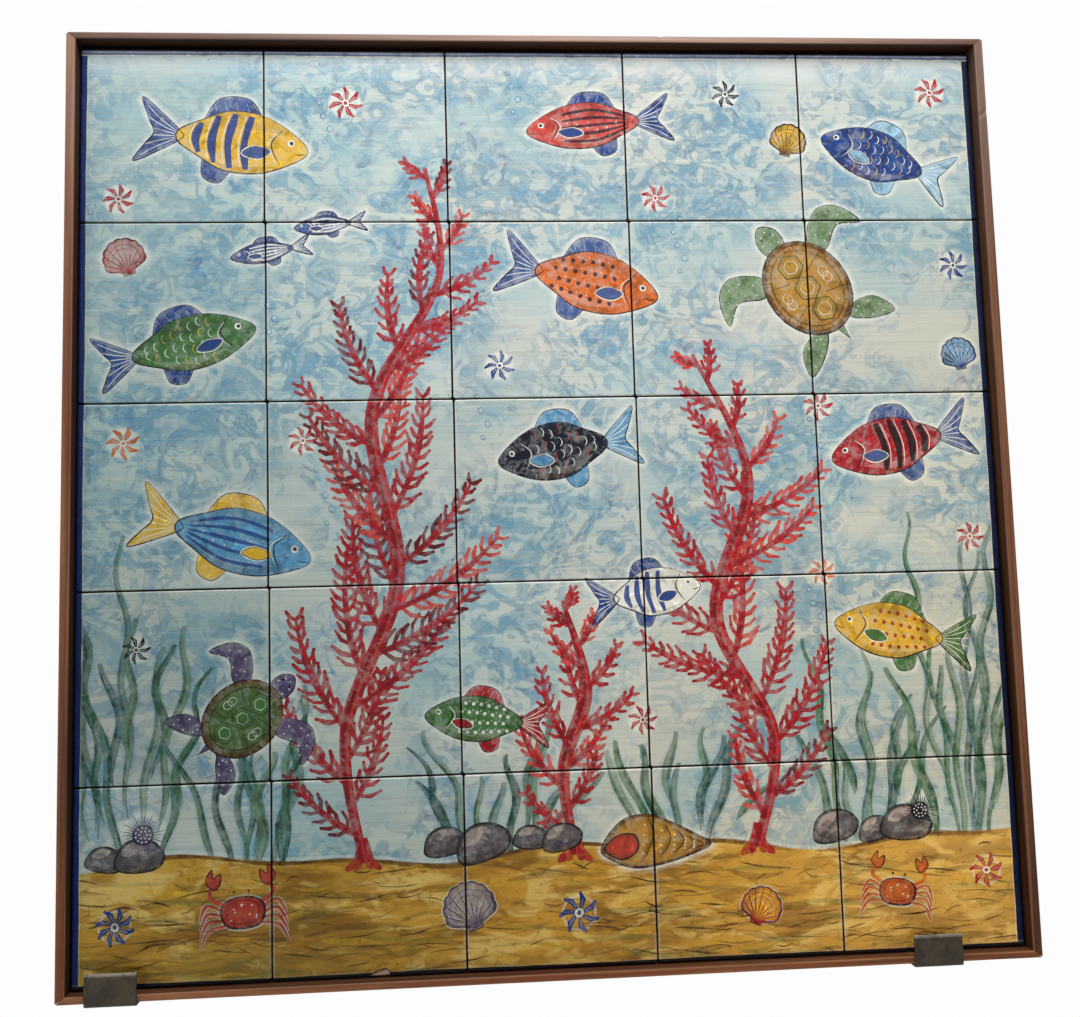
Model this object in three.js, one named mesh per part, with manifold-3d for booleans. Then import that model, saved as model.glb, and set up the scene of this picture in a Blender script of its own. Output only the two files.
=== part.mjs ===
// Hand-painted tile panel: a field of glazed tiles laid on a board, in a shallow mitred tray frame
// of dark wood that rests on two bent steel clips fixed to the wall.
// Millimetres, X to the right, Y into the wall, Z up. The origin is the centre of the board's rear
// face, where the panel lies against the wall.

import * as THREE from 'three';
import { mergeVertices } from 'three/addons/utils/BufferGeometryUtils.js';
import Module from 'manifold-3d';

const wasm = await Module();
wasm.setup();

// Tiles
const tilesAcross = 5;
const tilesDown = 5;
const tileSize = 200;
const tileThickness = 8;
const jointWidth = 1.5;
const tileEdgeRadius = 1.6;
const tileCornerEase = 0.9;

// The tiles are laid by hand: each course lies a little further right than the one above, and the
// middle bed joints sit a little high. The outer tiles make up the difference.
const courseDrift = 1.1;
const bedCrown = 4;

// Open gaps between the field of tiles and the tray's inner walls
const gapLeft = 1.5;
const gapRight = 2.5;
const gapTop = 4;
const gapBottom = 2;

// Tray frame: the front width of its members, and how far it stands out past the tiles
const stileFace = 10.5;
const railFace = 8;
const lipHeight = 14;
const frameArris = 1.2;
const frameCornerEase = 1.2;
const openingCornerRadius = 0.3;
const mitreDraw = 0.2;

// Backing board
const boardThickness = 12;
const boardClearance = 0.5;
const seatGap = 0.3;

// Steel clips, measured from the outside of the frame and from the clip's underside
const clipWidth = 52;
const clipSteel = 3;
const clipLip = 33;
const clipPlate = 62;
const clipOutsideRadius = 3.5;
const clipInsideRadius = 0.5;
const clipGap = 0.3;
const clipRecessGap = 0.5;
const leftClipInset = 30;
const rightClipInset = 89;
const screwHoleRadius = 2.5;
const screwHoleSpacing = 28;
const screwHoleDrop = 14;

// Steps in a quarter round, and the overrun of a cutting shape past what it cuts
const arcSteps = 3;
const holeSides = 24;
const cutOverrun = 2;

// Worked-out sizes
const pitch = tileSize + jointWidth;
const fieldWidth = tilesAcross * tileSize + (tilesAcross - 1) * jointWidth;
const fieldHeight = tilesDown * tileSize + (tilesDown - 1) * jointWidth;
const openingWidth = gapLeft + fieldWidth + gapRight;
const openingHeight = gapTop + fieldHeight + gapBottom;
const frameWidth = openingWidth + 2 * stileFace;
const frameHeight = openingHeight + 2 * railFace;
const tileBack = boardThickness + seatGap;
const tileFront = tileBack + tileThickness;
const frameDepth = tileFront + lipHeight;
const fieldLeft = -openingWidth / 2 + gapLeft;
const fieldRight = openingWidth / 2 - gapRight;
const fieldTop = openingHeight / 2 - gapTop;
const fieldBottom = -openingHeight / 2 + gapBottom;
const clipUnderside = -frameHeight / 2 - clipGap - clipSteel;
const clipFront = frameDepth + clipGap + clipSteel;

const glaze = new THREE.MeshStandardMaterial({ color: 0xb9ccd0, roughness: 0.18, metalness: 0 });
const sandGlaze = new THREE.MeshStandardMaterial({ color: 0xae8543, roughness: 0.2, metalness: 0 });
const walnut = new THREE.MeshStandardMaterial({ color: 0x6f4d38, roughness: 0.6, metalness: 0 });
const boardWood = new THREE.MeshStandardMaterial({ color: 0x7a5a40, roughness: 0.85, metalness: 0 });
const darkSteel = new THREE.MeshStandardMaterial({ color: 0x46413a, roughness: 0.5, metalness: 0.7 });

// Booleans

function toSolid(geometry) {
  const bare = geometry.clone();
  bare.deleteAttribute('normal');
  bare.deleteAttribute('uv');
  const merged = mergeVertices(bare, 1e-4);
  const vertProperties = new Float32Array(merged.attributes.position.array);
  const triVerts = new Uint32Array(merged.index.array);
  return new wasm.Manifold(new wasm.Mesh({ numProp: 3, vertProperties, triVerts }));
}

function toGeometry(solid) {
  const mesh = solid.getMesh();
  const geometry = new THREE.BufferGeometry();
  geometry.setAttribute('position', new THREE.BufferAttribute(new Float32Array(mesh.vertProperties), 3));
  geometry.setIndex(new THREE.BufferAttribute(new Uint32Array(mesh.triVerts), 1));
  const faceted = geometry.toNonIndexed();
  faceted.computeVertexNormals();
  return faceted;
}

// Shapes are drawn on the panel's face, x across and z up, and reach out from the wall along -Y.

function faceShape(points) {
  return new THREE.Shape(points.map(([x, z]) => new THREE.Vector2(x, z)));
}

function outwardPrism(points, from, to) {
  const geometry = new THREE.ExtrudeGeometry(faceShape(points), { depth: to - from, bevelEnabled: false });
  geometry.translate(0, 0, from);
  geometry.rotateX(Math.PI / 2);
  return geometry;
}

function faceBox(left, right, bottom, top, from, to) {
  return outwardPrism([[left, bottom], [right, bottom], [right, top], [left, top]], from, to);
}

// One outline of a rectangle with rounded corners, drawn in by inset.
function roundedOutline(left, right, bottom, top, cornerRadius, inset) {
  const corners = [
    [right - cornerRadius, top - cornerRadius, 0],
    [left + cornerRadius, top - cornerRadius, 1],
    [left + cornerRadius, bottom + cornerRadius, 2],
    [right - cornerRadius, bottom + cornerRadius, 3],
  ];
  const reach = cornerRadius - inset;
  const points = [];
  for (const [x, z, quarter] of corners) {
    for (let step = 0; step <= arcSteps; step += 1) {
      const angle = (quarter + step / arcSteps) * Math.PI / 2;
      points.push([x + reach * Math.cos(angle), z + reach * Math.sin(angle)]);
    }
  }
  return points;
}

// A closed solid through a stack of such outlines; rings holds [inset, distance from the wall].
function stackedSolid(left, right, bottom, top, cornerRadius, rings) {
  const outlines = rings.map(([inset]) => roundedOutline(left, right, bottom, top, cornerRadius, inset));
  const count = outlines[0].length;
  const positions = [];
  outlines.forEach((outline, ring) => {
    for (const [x, z] of outline) {
      positions.push(x, -rings[ring][1], z);
    }
  });
  const indices = [];
  for (let ring = 0; ring < rings.length - 1; ring += 1) {
    for (let i = 0; i < count; i += 1) {
      const a = ring * count + i;
      const b = ring * count + (i + 1) % count;
      indices.push(a, b, b + count, a, b + count, a + count);
    }
  }
  const last = (rings.length - 1) * count;
  for (let i = 1; i < count - 1; i += 1) {
    indices.push(0, i + 1, i);
    indices.push(last, last + i, last + i + 1);
  }
  const geometry = new THREE.BufferGeometry();
  geometry.setAttribute('position', new THREE.Float32BufferAttribute(positions, 3));
  geometry.setIndex(indices);
  return geometry;
}

// Rings that round the front edge over: inward for a tile or a frame's outside.
function easedRings(back, front, radius) {
  const rings = [[0, back]];
  for (let step = 0; step <= arcSteps; step += 1) {
    const angle = step / arcSteps * Math.PI / 2;
    rings.push([radius * (1 - Math.cos(angle)), front - radius * (1 - Math.sin(angle))]);
  }
  return rings;
}

// Tiles

function headJoint(column, course) {
  if (column === 0) {
    return fieldLeft - jointWidth / 2;
  }
  if (column === tilesAcross) {
    return fieldRight + jointWidth / 2;
  }
  const middle = (fieldLeft + fieldRight) / 2;
  const drift = courseDrift * (course - (tilesDown - 1) / 2);
  return middle + (column - tilesAcross / 2) * pitch + drift;
}

function bedJoint(course) {
  if (course === 0) {
    return fieldTop + jointWidth / 2;
  }
  if (course === tilesDown) {
    return fieldBottom - jointWidth / 2;
  }
  const middle = (fieldTop + fieldBottom) / 2;
  const crown = bedCrown * Math.sin(Math.PI * course / tilesDown);
  return middle - (course - tilesDown / 2) * pitch + crown;
}

function tile(column, course) {
  const left = headJoint(column, course) + jointWidth / 2;
  const right = headJoint(column + 1, course) - jointWidth / 2;
  const top = bedJoint(course) - jointWidth / 2;
  const bottom = bedJoint(course + 1) + jointWidth / 2;
  const rings = easedRings(tileBack, tileFront, tileEdgeRadius);
  return stackedSolid(left, right, bottom, top, tileEdgeRadius + tileCornerEase, rings);
}

// Clips: one bent strip, drawn from the side as depth from the wall and height

function clipSpan(side) {
  if (side === 'left') {
    const left = -frameWidth / 2 + leftClipInset;
    return [left, left + clipWidth];
  }
  const right = frameWidth / 2 - rightClipInset;
  return [right - clipWidth, right];
}

function clipProfile() {
  const shelfTop = clipUnderside + clipSteel;
  const lipBack = clipFront - clipSteel;
  const profile = new THREE.Shape();
  profile.moveTo(0, clipUnderside + clipPlate);
  profile.lineTo(0, clipUnderside + clipOutsideRadius);
  profile.absarc(clipOutsideRadius, clipUnderside + clipOutsideRadius, clipOutsideRadius, Math.PI, 1.5 * Math.PI);
  profile.lineTo(clipFront - clipOutsideRadius, clipUnderside);
  profile.absarc(
    clipFront - clipOutsideRadius, clipUnderside + clipOutsideRadius, clipOutsideRadius, 1.5 * Math.PI, 2 * Math.PI,
  );
  profile.lineTo(clipFront, clipUnderside + clipLip);
  profile.lineTo(lipBack, clipUnderside + clipLip);
  profile.lineTo(lipBack, shelfTop + clipInsideRadius);
  profile.absarc(lipBack - clipInsideRadius, shelfTop + clipInsideRadius, clipInsideRadius, 0, -Math.PI / 2, true);
  profile.lineTo(clipSteel + clipInsideRadius, shelfTop);
  profile.absarc(
    clipSteel + clipInsideRadius, shelfTop + clipInsideRadius, clipInsideRadius, -Math.PI / 2, -Math.PI, true,
  );
  profile.lineTo(clipSteel, clipUnderside + clipPlate);
  return profile;
}

function clip(side) {
  const [left, right] = clipSpan(side);
  const strip = new THREE.ExtrudeGeometry(clipProfile(), {
    depth: clipWidth, bevelEnabled: false, curveSegments: arcSteps,
  });
  // Depth from the wall becomes -Y, height becomes Z and the strip's width becomes X.
  const turn = new THREE.Matrix4().makeBasis(
    new THREE.Vector3(0, -1, 0), new THREE.Vector3(0, 0, 1), new THREE.Vector3(-1, 0, 0),
  );
  strip.applyMatrix4(turn);
  strip.translate(right, 0, 0);
  let solid = toSolid(strip);
  for (const offset of [-screwHoleSpacing / 2, screwHoleSpacing / 2]) {
    const hole = new THREE.CylinderGeometry(
      screwHoleRadius, screwHoleRadius, clipSteel + 2 * cutOverrun, holeSides,
    );
    hole.translate((left + right) / 2 + offset, -clipSteel / 2, clipUnderside + clipPlate - screwHoleDrop);
    solid = solid.subtract(toSolid(hole));
  }
  return toGeometry(solid);
}

// Pockets in the back of the board and the bottom rail let the clips' wall plates lie flush.
function clipPocket(side) {
  const [left, right] = clipSpan(side);
  return toSolid(faceBox(
    left - clipRecessGap,
    right + clipRecessGap,
    clipUnderside - cutOverrun,
    clipUnderside + clipPlate + clipRecessGap,
    -cutOverrun,
    clipSteel + clipRecessGap,
  ));
}

function withPockets(solid) {
  return solid.subtract(clipPocket('left')).subtract(clipPocket('right'));
}

// Tray frame

function trayRing() {
  const halfWidth = frameWidth / 2;
  const halfHeight = frameHeight / 2;
  const outside = toSolid(stackedSolid(
    -halfWidth, halfWidth, -halfHeight, halfHeight,
    frameArris + frameCornerEase, easedRings(0, frameDepth, frameArris),
  ));
  // The opening widens towards the front over the inner arris.
  const flare = easedRings(0, frameDepth, frameArris).map(([inset, distance]) => [-inset, distance]);
  flare[0][1] = -cutOverrun;
  flare.push([-frameArris, frameDepth + cutOverrun]);
  const opening = toSolid(stackedSolid(
    -openingWidth / 2, openingWidth / 2, -openingHeight / 2, openingHeight / 2, openingCornerRadius, flare,
  ));
  return outside.subtract(opening);
}

// The part of the tray between the two mitres at a member's ends: side is the member's outward
// direction on the face, as [x, z].
function mitreWedge(side) {
  const [sx, sz] = side;
  const outerX = frameWidth / 2 + stileFace;
  const outerZ = frameHeight / 2 + railFace;
  const innerX = openingWidth / 2 - stileFace;
  const innerZ = openingHeight / 2 - railFace;
  const drawX = sx * mitreDraw;
  const drawZ = sz * mitreDraw;
  const corners = sx !== 0
    ? [[sx * outerX, -outerZ], [sx * outerX, outerZ], [sx * innerX, innerZ], [sx * innerX, -innerZ]]
    : [[-outerX, sz * outerZ], [outerX, sz * outerZ], [innerX, sz * innerZ], [-innerX, sz * innerZ]];
  const shifted = corners.map(([x, z]) => [x + drawX, z + drawZ]);
  return toSolid(outwardPrism(shifted, -cutOverrun, frameDepth + cutOverrun));
}

function frameMember(ring, side) {
  return ring.intersect(mitreWedge(side));
}

function backingBoard() {
  const halfWidth = openingWidth / 2 - boardClearance;
  const halfHeight = openingHeight / 2 - boardClearance;
  return toSolid(faceBox(-halfWidth, halfWidth, -halfHeight, halfHeight, 0, boardThickness));
}

// Scene graph

function named(name, geometry, material) {
  const mesh = new THREE.Mesh(geometry, material);
  mesh.name = name;
  return mesh;
}

const panel = new THREE.Group();

const field = new THREE.Group();
for (let course = 0; course < tilesDown; course += 1) {
  for (let column = 0; column < tilesAcross; column += 1) {
    const material = course === tilesDown - 1 ? sandGlaze : glaze;
    field.add(named(`tile_r${course + 1}_c${column + 1}`, tile(column, course), material));
  }
}
panel.add(field);

const ring = trayRing();
const tray = new THREE.Group();
tray.add(named('frame_stile_left', toGeometry(frameMember(ring, [-1, 0])), walnut));
tray.add(named('frame_stile_right', toGeometry(frameMember(ring, [1, 0])), walnut));
tray.add(named('frame_rail_top', toGeometry(frameMember(ring, [0, 1])), walnut));
tray.add(named('frame_rail_bottom', toGeometry(withPockets(frameMember(ring, [0, -1]))), walnut));
tray.add(named('backing_board', toGeometry(withPockets(backingBoard())), boardWood));
panel.add(tray);

const fixings = new THREE.Group();
fixings.add(named('support_clip_left', clip('left'), darkSteel));
fixings.add(named('support_clip_right', clip('right'), darkSteel));
panel.add(fixings);

export default panel;
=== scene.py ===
"""Looks for a hand-painted tile panel in a mitred tray frame on two steel clips.

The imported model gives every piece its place. This script paints the tiles, dresses the frame,
the board and the clips, and sets up the camera and a soft studio light.
"""

import logging
import math
import random
from dataclasses import dataclass
from enum import Enum
from typing import Sequence

import bpy
from mathutils import Matrix, Vector
from mathutils.geometry import delaunay_2d_cdt


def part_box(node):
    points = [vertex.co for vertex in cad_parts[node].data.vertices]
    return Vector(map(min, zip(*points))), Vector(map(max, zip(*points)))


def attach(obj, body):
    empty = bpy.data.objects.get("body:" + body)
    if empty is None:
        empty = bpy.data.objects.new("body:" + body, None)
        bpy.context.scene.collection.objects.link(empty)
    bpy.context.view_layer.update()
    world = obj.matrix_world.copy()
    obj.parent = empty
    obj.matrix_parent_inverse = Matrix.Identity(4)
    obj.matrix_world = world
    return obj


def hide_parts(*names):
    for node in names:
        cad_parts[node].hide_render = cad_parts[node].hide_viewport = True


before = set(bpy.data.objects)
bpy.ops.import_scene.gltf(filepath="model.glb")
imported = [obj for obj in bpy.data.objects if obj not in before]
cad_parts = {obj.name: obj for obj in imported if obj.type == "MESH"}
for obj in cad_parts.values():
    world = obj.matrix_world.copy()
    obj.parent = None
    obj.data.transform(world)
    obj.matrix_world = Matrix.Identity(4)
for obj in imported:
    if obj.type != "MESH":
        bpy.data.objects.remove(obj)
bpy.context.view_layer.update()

LOG = logging.getLogger("tile_panel")
MM = 0.001
SAND_TOP = -383.0
SMALLEST_PATCH = 0.02
PAINT_ATTRIBUTE = "paint"
GROUND_ATTRIBUTE = "ground"

Point = tuple[float, float]
Colour = tuple[float, float, float]
Place = tuple[float, float, float]
Socket = bpy.types.NodeSocket
Material = bpy.types.Material


def tone(red: float, green: float, blue: float) -> Colour:
    """Turns an 8-bit display colour into scene-linear values.

    Args:
        red: Red, 0 to 255.
        green: Green, 0 to 255.
        blue: Blue, 0 to 255.

    Returns:
        The linear colour.
    """
    def channel(value: float) -> float:
        """Linear value of one channel."""
        share = value / 255
        return share / 12.92 if share <= 0.04045 else ((share + 0.055) / 1.055) ** 2.4
    return channel(red), channel(green), channel(blue)


class Hue(Enum):
    """The painter's palette."""

    COBALT = tone(30, 66, 140)
    DEEP_COBALT = tone(26, 50, 108)
    SKY = tone(92, 156, 200)
    PALE_SKY = tone(148, 192, 220)
    SLATE_BLUE = tone(70, 92, 150)
    INK = tone(20, 20, 26)
    NIGHT = tone(18, 22, 44)
    IRON_RED = tone(172, 30, 40)
    DARK_RED = tone(118, 18, 28)
    CORAL_RED = tone(206, 72, 62)
    ORANGE = tone(214, 108, 44)
    YELLOW = tone(232, 184, 52)
    OCHRE = tone(196, 146, 58)
    UMBER = tone(112, 74, 30)
    SEPIA = tone(66, 44, 26)
    LEAF = tone(70, 118, 62)
    WEED = tone(60, 102, 66)
    DEEP_WEED = tone(28, 70, 58)
    PALE_WEED = tone(114, 142, 104)
    VIOLET = tone(92, 78, 118)
    STONE = tone(112, 104, 108)
    STONE_LIGHT = tone(186, 172, 168)
    STONE_DARK = tone(66, 58, 62)
    WHITE = tone(240, 240, 232)
    BLACK_BLUE = tone(24, 28, 40)
    BORDER = tone(11, 42, 110)
    DARK_BORDER = tone(6, 25, 64)
    LAVENDER = tone(186, 192, 222)
    AIRY_BLUE = tone(92, 128, 178)


class Layer(Enum):
    """What a painted patch changes on the glaze."""

    PIGMENT = "pigment"
    SAND = "sand"
    WIPED = "wiped"


def smooth(points: Sequence[Point], steps: int, closed: bool = False) -> list[Point]:
    """Draws a smooth curve through a few points.

    Args:
        points: The points that the curve passes.
        steps: Stretches between one point and the next.
        closed: Whether the curve returns to its first point.

    Returns:
        The points along the curve.
    """
    count = len(points)
    spans = count if closed else count - 1

    def at(index: int) -> Point:
        """The point at an index, held or wrapped at the ends."""
        return points[index % count] if closed else points[min(max(index, 0), count - 1)]

    curve = []
    for span in range(spans):
        a, b, c, d = at(span - 1), at(span), at(span + 1), at(span + 2)
        for step in range(steps):
            t = step / steps
            curve.append(tuple(
                0.5 * (2 * b[k] + (c[k] - a[k]) * t + (2 * a[k] - 5 * b[k] + 4 * c[k] - d[k]) * t * t
                       + (3 * b[k] - a[k] - 3 * c[k] + d[k]) * t ** 3)
                for k in (0, 1)))
    if not closed:
        curve.append(tuple(points[-1]))
    return curve


def oval(across: float, up: float, width: float, height: float, sides: int = 20,
         turn: float = 0.0) -> list[Point]:
    """Draws an oval.

    Args:
        across: Centre, across.
        up: Centre, up.
        width: Half width.
        height: Half height.
        sides: Number of points.
        turn: Turn in radians.

    Returns:
        The oval's points, anticlockwise.
    """
    points = []
    for i in range(sides):
        angle = math.tau * i / sides
        u, v = width * math.cos(angle), height * math.sin(angle)
        points.append((across + u * math.cos(turn) - v * math.sin(turn),
                       up + u * math.sin(turn) + v * math.cos(turn)))
    return points


def ray(angle: float, across: float, up: float | None = None) -> Point:
    """The point at an angle on a circle or, with its half height given, on an oval."""
    return across * math.cos(angle), (across if up is None else up) * math.sin(angle)


def ring(loop: Sequence) -> list[tuple]:
    """The items of a closed loop in pairs."""
    return list(zip(loop, [*loop[1:], loop[0]]))


def crosses(a: Point, b: Point, c: Point, d: Point) -> bool:
    """Whether a four-sided outline isn't plainly convex, as where a stroke doubles back.

    Args:
        a: The first corner.
        b: The second.
        c: The third.
        d: The fourth.

    Returns:
        True where the corners don't all turn one way.
    """
    loop = (a, b, c, d)
    turns = []
    for i in range(4):
        p, q, r = loop[i - 1], loop[i], loop[(i + 1) % 4]
        turns.append((q[0] - p[0]) * (r[1] - q[1]) - (q[1] - p[1]) * (r[0] - q[0]))
    return min(turns) <= 0 <= max(turns)


def shrink(outline: Sequence[Point], share: float) -> list[Point]:
    """Draws an outline smaller, about its middle.

    Args:
        outline: The outline.
        share: What is left of its size.

    Returns:
        The smaller outline.
    """
    cx = sum(p[0] for p in outline) / len(outline)
    cz = sum(p[1] for p in outline) / len(outline)
    return [(cx + (x - cx) * share, cz + (z - cz) * share) for x, z in outline]


@dataclass(frozen=True)
class Patch:
    """One flat area laid on the glaze, in millimetres on the panel's face."""

    outline: tuple[Point, ...]
    layer: Layer
    stroke: int
    colour: Colour
    cover: float
    low: Point
    high: Point

    def reaches(self, x: float, z: float) -> bool:
        """Whether a point lies in the patch's box."""
        return self.low[0] <= x <= self.high[0] and self.low[1] <= z <= self.high[1]


class Canvas:
    """All patches of the painting in the order in which they are laid."""

    def __init__(self) -> None:
        """Starts with nothing painted."""
        self.patches: list[Patch] = []
        self.strokes = 0

    def next_stroke(self) -> int:
        """Number of a new brush stroke."""
        self.strokes += 1
        return self.strokes

    def add(self, outline: Sequence[Point], colour: Colour, cover: float,
            layer: Layer = Layer.PIGMENT, stroke: int | None = None) -> None:
        """Lays one patch.

        Args:
            outline: The patch's corners.
            colour: Its linear colour.
            cover: How much of the ground it hides, up to 1.
            layer: What the patch changes.
            stroke: The stroke that it belongs to, or None for one of its own.
        """
        area = sum(a[0] * b[1] - b[0] * a[1] for a, b in ring(outline))
        if abs(area) < SMALLEST_PATCH:
            return
        points = tuple(outline) if area > 0 else tuple(reversed(outline))
        xs, zs = [p[0] for p in points], [p[1] for p in points]
        number = self.next_stroke() if stroke is None else stroke
        low, high = (min(xs), min(zs)), (max(xs), max(zs))
        self.patches.append(Patch(points, layer, number, colour, cover, low, high))

    def over(self, low: Point, high: Point) -> list[Patch]:
        """Patches whose boxes meet a rectangle, in order.

        Args:
            low: The rectangle's lower left corner.
            high: Its upper right corner.

        Returns:
            The patches.
        """
        return [p for p in self.patches
                if p.low[0] < high[0] and p.high[0] > low[0] and p.low[1] < high[1] and p.high[1] > low[1]]


@dataclass
class Brush:
    """A brush held at one place on the canvas, with its own size, turn and mirror."""

    canvas: Canvas
    x: float = 0.0
    z: float = 0.0
    size: float = 1.0
    turn: float = 0.0
    mirror: bool = False
    press: float = 0.25
    lift: float = 0.35
    quiver: float = 0.13

    def place(self, point: Point) -> Point:
        """Takes a point of the motif to the panel.

        Args:
            point: The point in the motif's units.

        Returns:
            The point in millimetres.
        """
        u = -point[0] if self.mirror else point[0]
        c, s = math.cos(self.turn), math.sin(self.turn)
        return self.x + self.size * (u * c - point[1] * s), self.z + self.size * (u * s + point[1] * c)

    def fill(self, outline: Sequence[Point], pigment: Hue, cover: float = 0.95,
             layer: Layer = Layer.PIGMENT) -> None:
        """Fills an outline with one tone.

        Args:
            outline: The outline in the motif's units.
            pigment: The pigment.
            cover: Its cover.
            layer: What it changes.
        """
        self.canvas.add([self.place(p) for p in outline], pigment.value, cover, layer)

    def pooled(self, outline: Sequence[Point], edge: Hue, middle: Hue, cover: float = 0.9) -> None:
        """Fills an outline with pigment that has pooled darker at the rim.

        Args:
            outline: The outline in the motif's units.
            edge: The pigment at the rim.
            middle: The pigment inside.
            cover: The rim's cover.
        """
        self.fill(outline, edge, cover)
        self.fill(shrink(outline, 0.9), middle, 0.6)
        self.fill(shrink(outline, 0.72), middle, 0.6)

    def line(self, points: Sequence[Point], width: float, pigment: Hue, cover: float = 0.95,
             ends: Point = (0.5, 0.3), layer: Layer = Layer.PIGMENT) -> None:
        """Draws a stroke whose width swells and thins like a soft brush's.

        Args:
            points: The stroke's path in the motif's units.
            width: Its full width in millimetres.
            pigment: The pigment.
            cover: Its cover.
            ends: Shares of the width left at the two ends.
            layer: What it changes.
        """
        path = [self.place(p) for p in points]
        last = len(path) - 1
        if last < 1:
            return
        stroke = self.canvas.next_stroke()
        phase = path[0][0] * 0.7 + path[0][1] * 1.3
        sides = []
        for i, (x, z) in enumerate(path):
            a, b = path[max(i - 1, 0)], path[min(i + 1, last)]
            dx, dz = b[0] - a[0], b[1] - a[1]
            run = math.hypot(dx, dz) or 1.0
            t = i / last
            begin = ends[0] + (1 - ends[0]) * min(1.0, t / self.press)
            swell = begin * (ends[1] + (1 - ends[1]) * min(1.0, (1 - t) / self.lift))
            half = 0.5 * width * swell * (1 + self.quiver * math.sin(phase + 8 * t))
            nx, nz = -dz / run * half, dx / run * half
            sides.append(((x + nx, z + nz), (x - nx, z - nz)))
        for (l0, r0), (l1, r1) in zip(sides, sides[1:]):
            pieces = ([l0, r0, r1], [l0, r1, l1]) if crosses(l0, r0, r1, l1) else ([l0, r0, r1, l1],)
            for piece in pieces:
                self.canvas.add(piece, pigment.value, cover, layer, stroke)

    def contour(self, outline: Sequence[Point], width: float, pigment: Hue, cover: float = 0.92) -> None:
        """Draws a thin line round an outline, lifted and set down again once.

        Args:
            outline: The outline in the motif's units.
            width: The line's width in millimetres.
            pigment: The pigment.
            cover: Its cover.
        """
        start = len(outline) // 5
        loop = [*outline[start:], *outline[:start + 1]]
        self.line(loop, width, pigment, cover, (0.5, 0.35))

    def dots(self, places: Sequence[Point], radius: float, pigment: Hue, cover: float = 0.95) -> None:
        """Sets round dots.

        Args:
            places: Their places in the motif's units.
            radius: Their radius in millimetres.
            pigment: The pigment.
            cover: Its cover.
        """
        for place in places:
            x, z = self.place(place)
            self.canvas.add(oval(x, z, radius, radius * 0.9, 9, x), pigment.value, cover)

    def halo(self, outline: Sequence[Point], reach: float) -> None:
        """Wipes the wash off round an outline.

        Args:
            outline: The outline in the motif's units.
            reach: How far out the wash is wiped, in millimetres.
        """
        loop = [*outline, outline[0]]
        if self.z < SAND_TOP:
            self.line(loop, reach * 0.8, Hue.WHITE, 0.55, (1, 1), Layer.WIPED)
            return
        self.fill(outline, Hue.WHITE, 0.6, Layer.WIPED)
        for share, cover in ((2.4, 0.3), (1.5, 0.45), (0.9, 0.6)):
            self.line(loop, reach * share, Hue.WHITE, cover, (1, 1), Layer.WIPED)


class FishPattern(Enum):
    """How a fish's flank is painted."""

    BARS = "bars"
    STRIPES = "stripes"
    SPOTS = "spots"
    SCALES = "scales"


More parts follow.
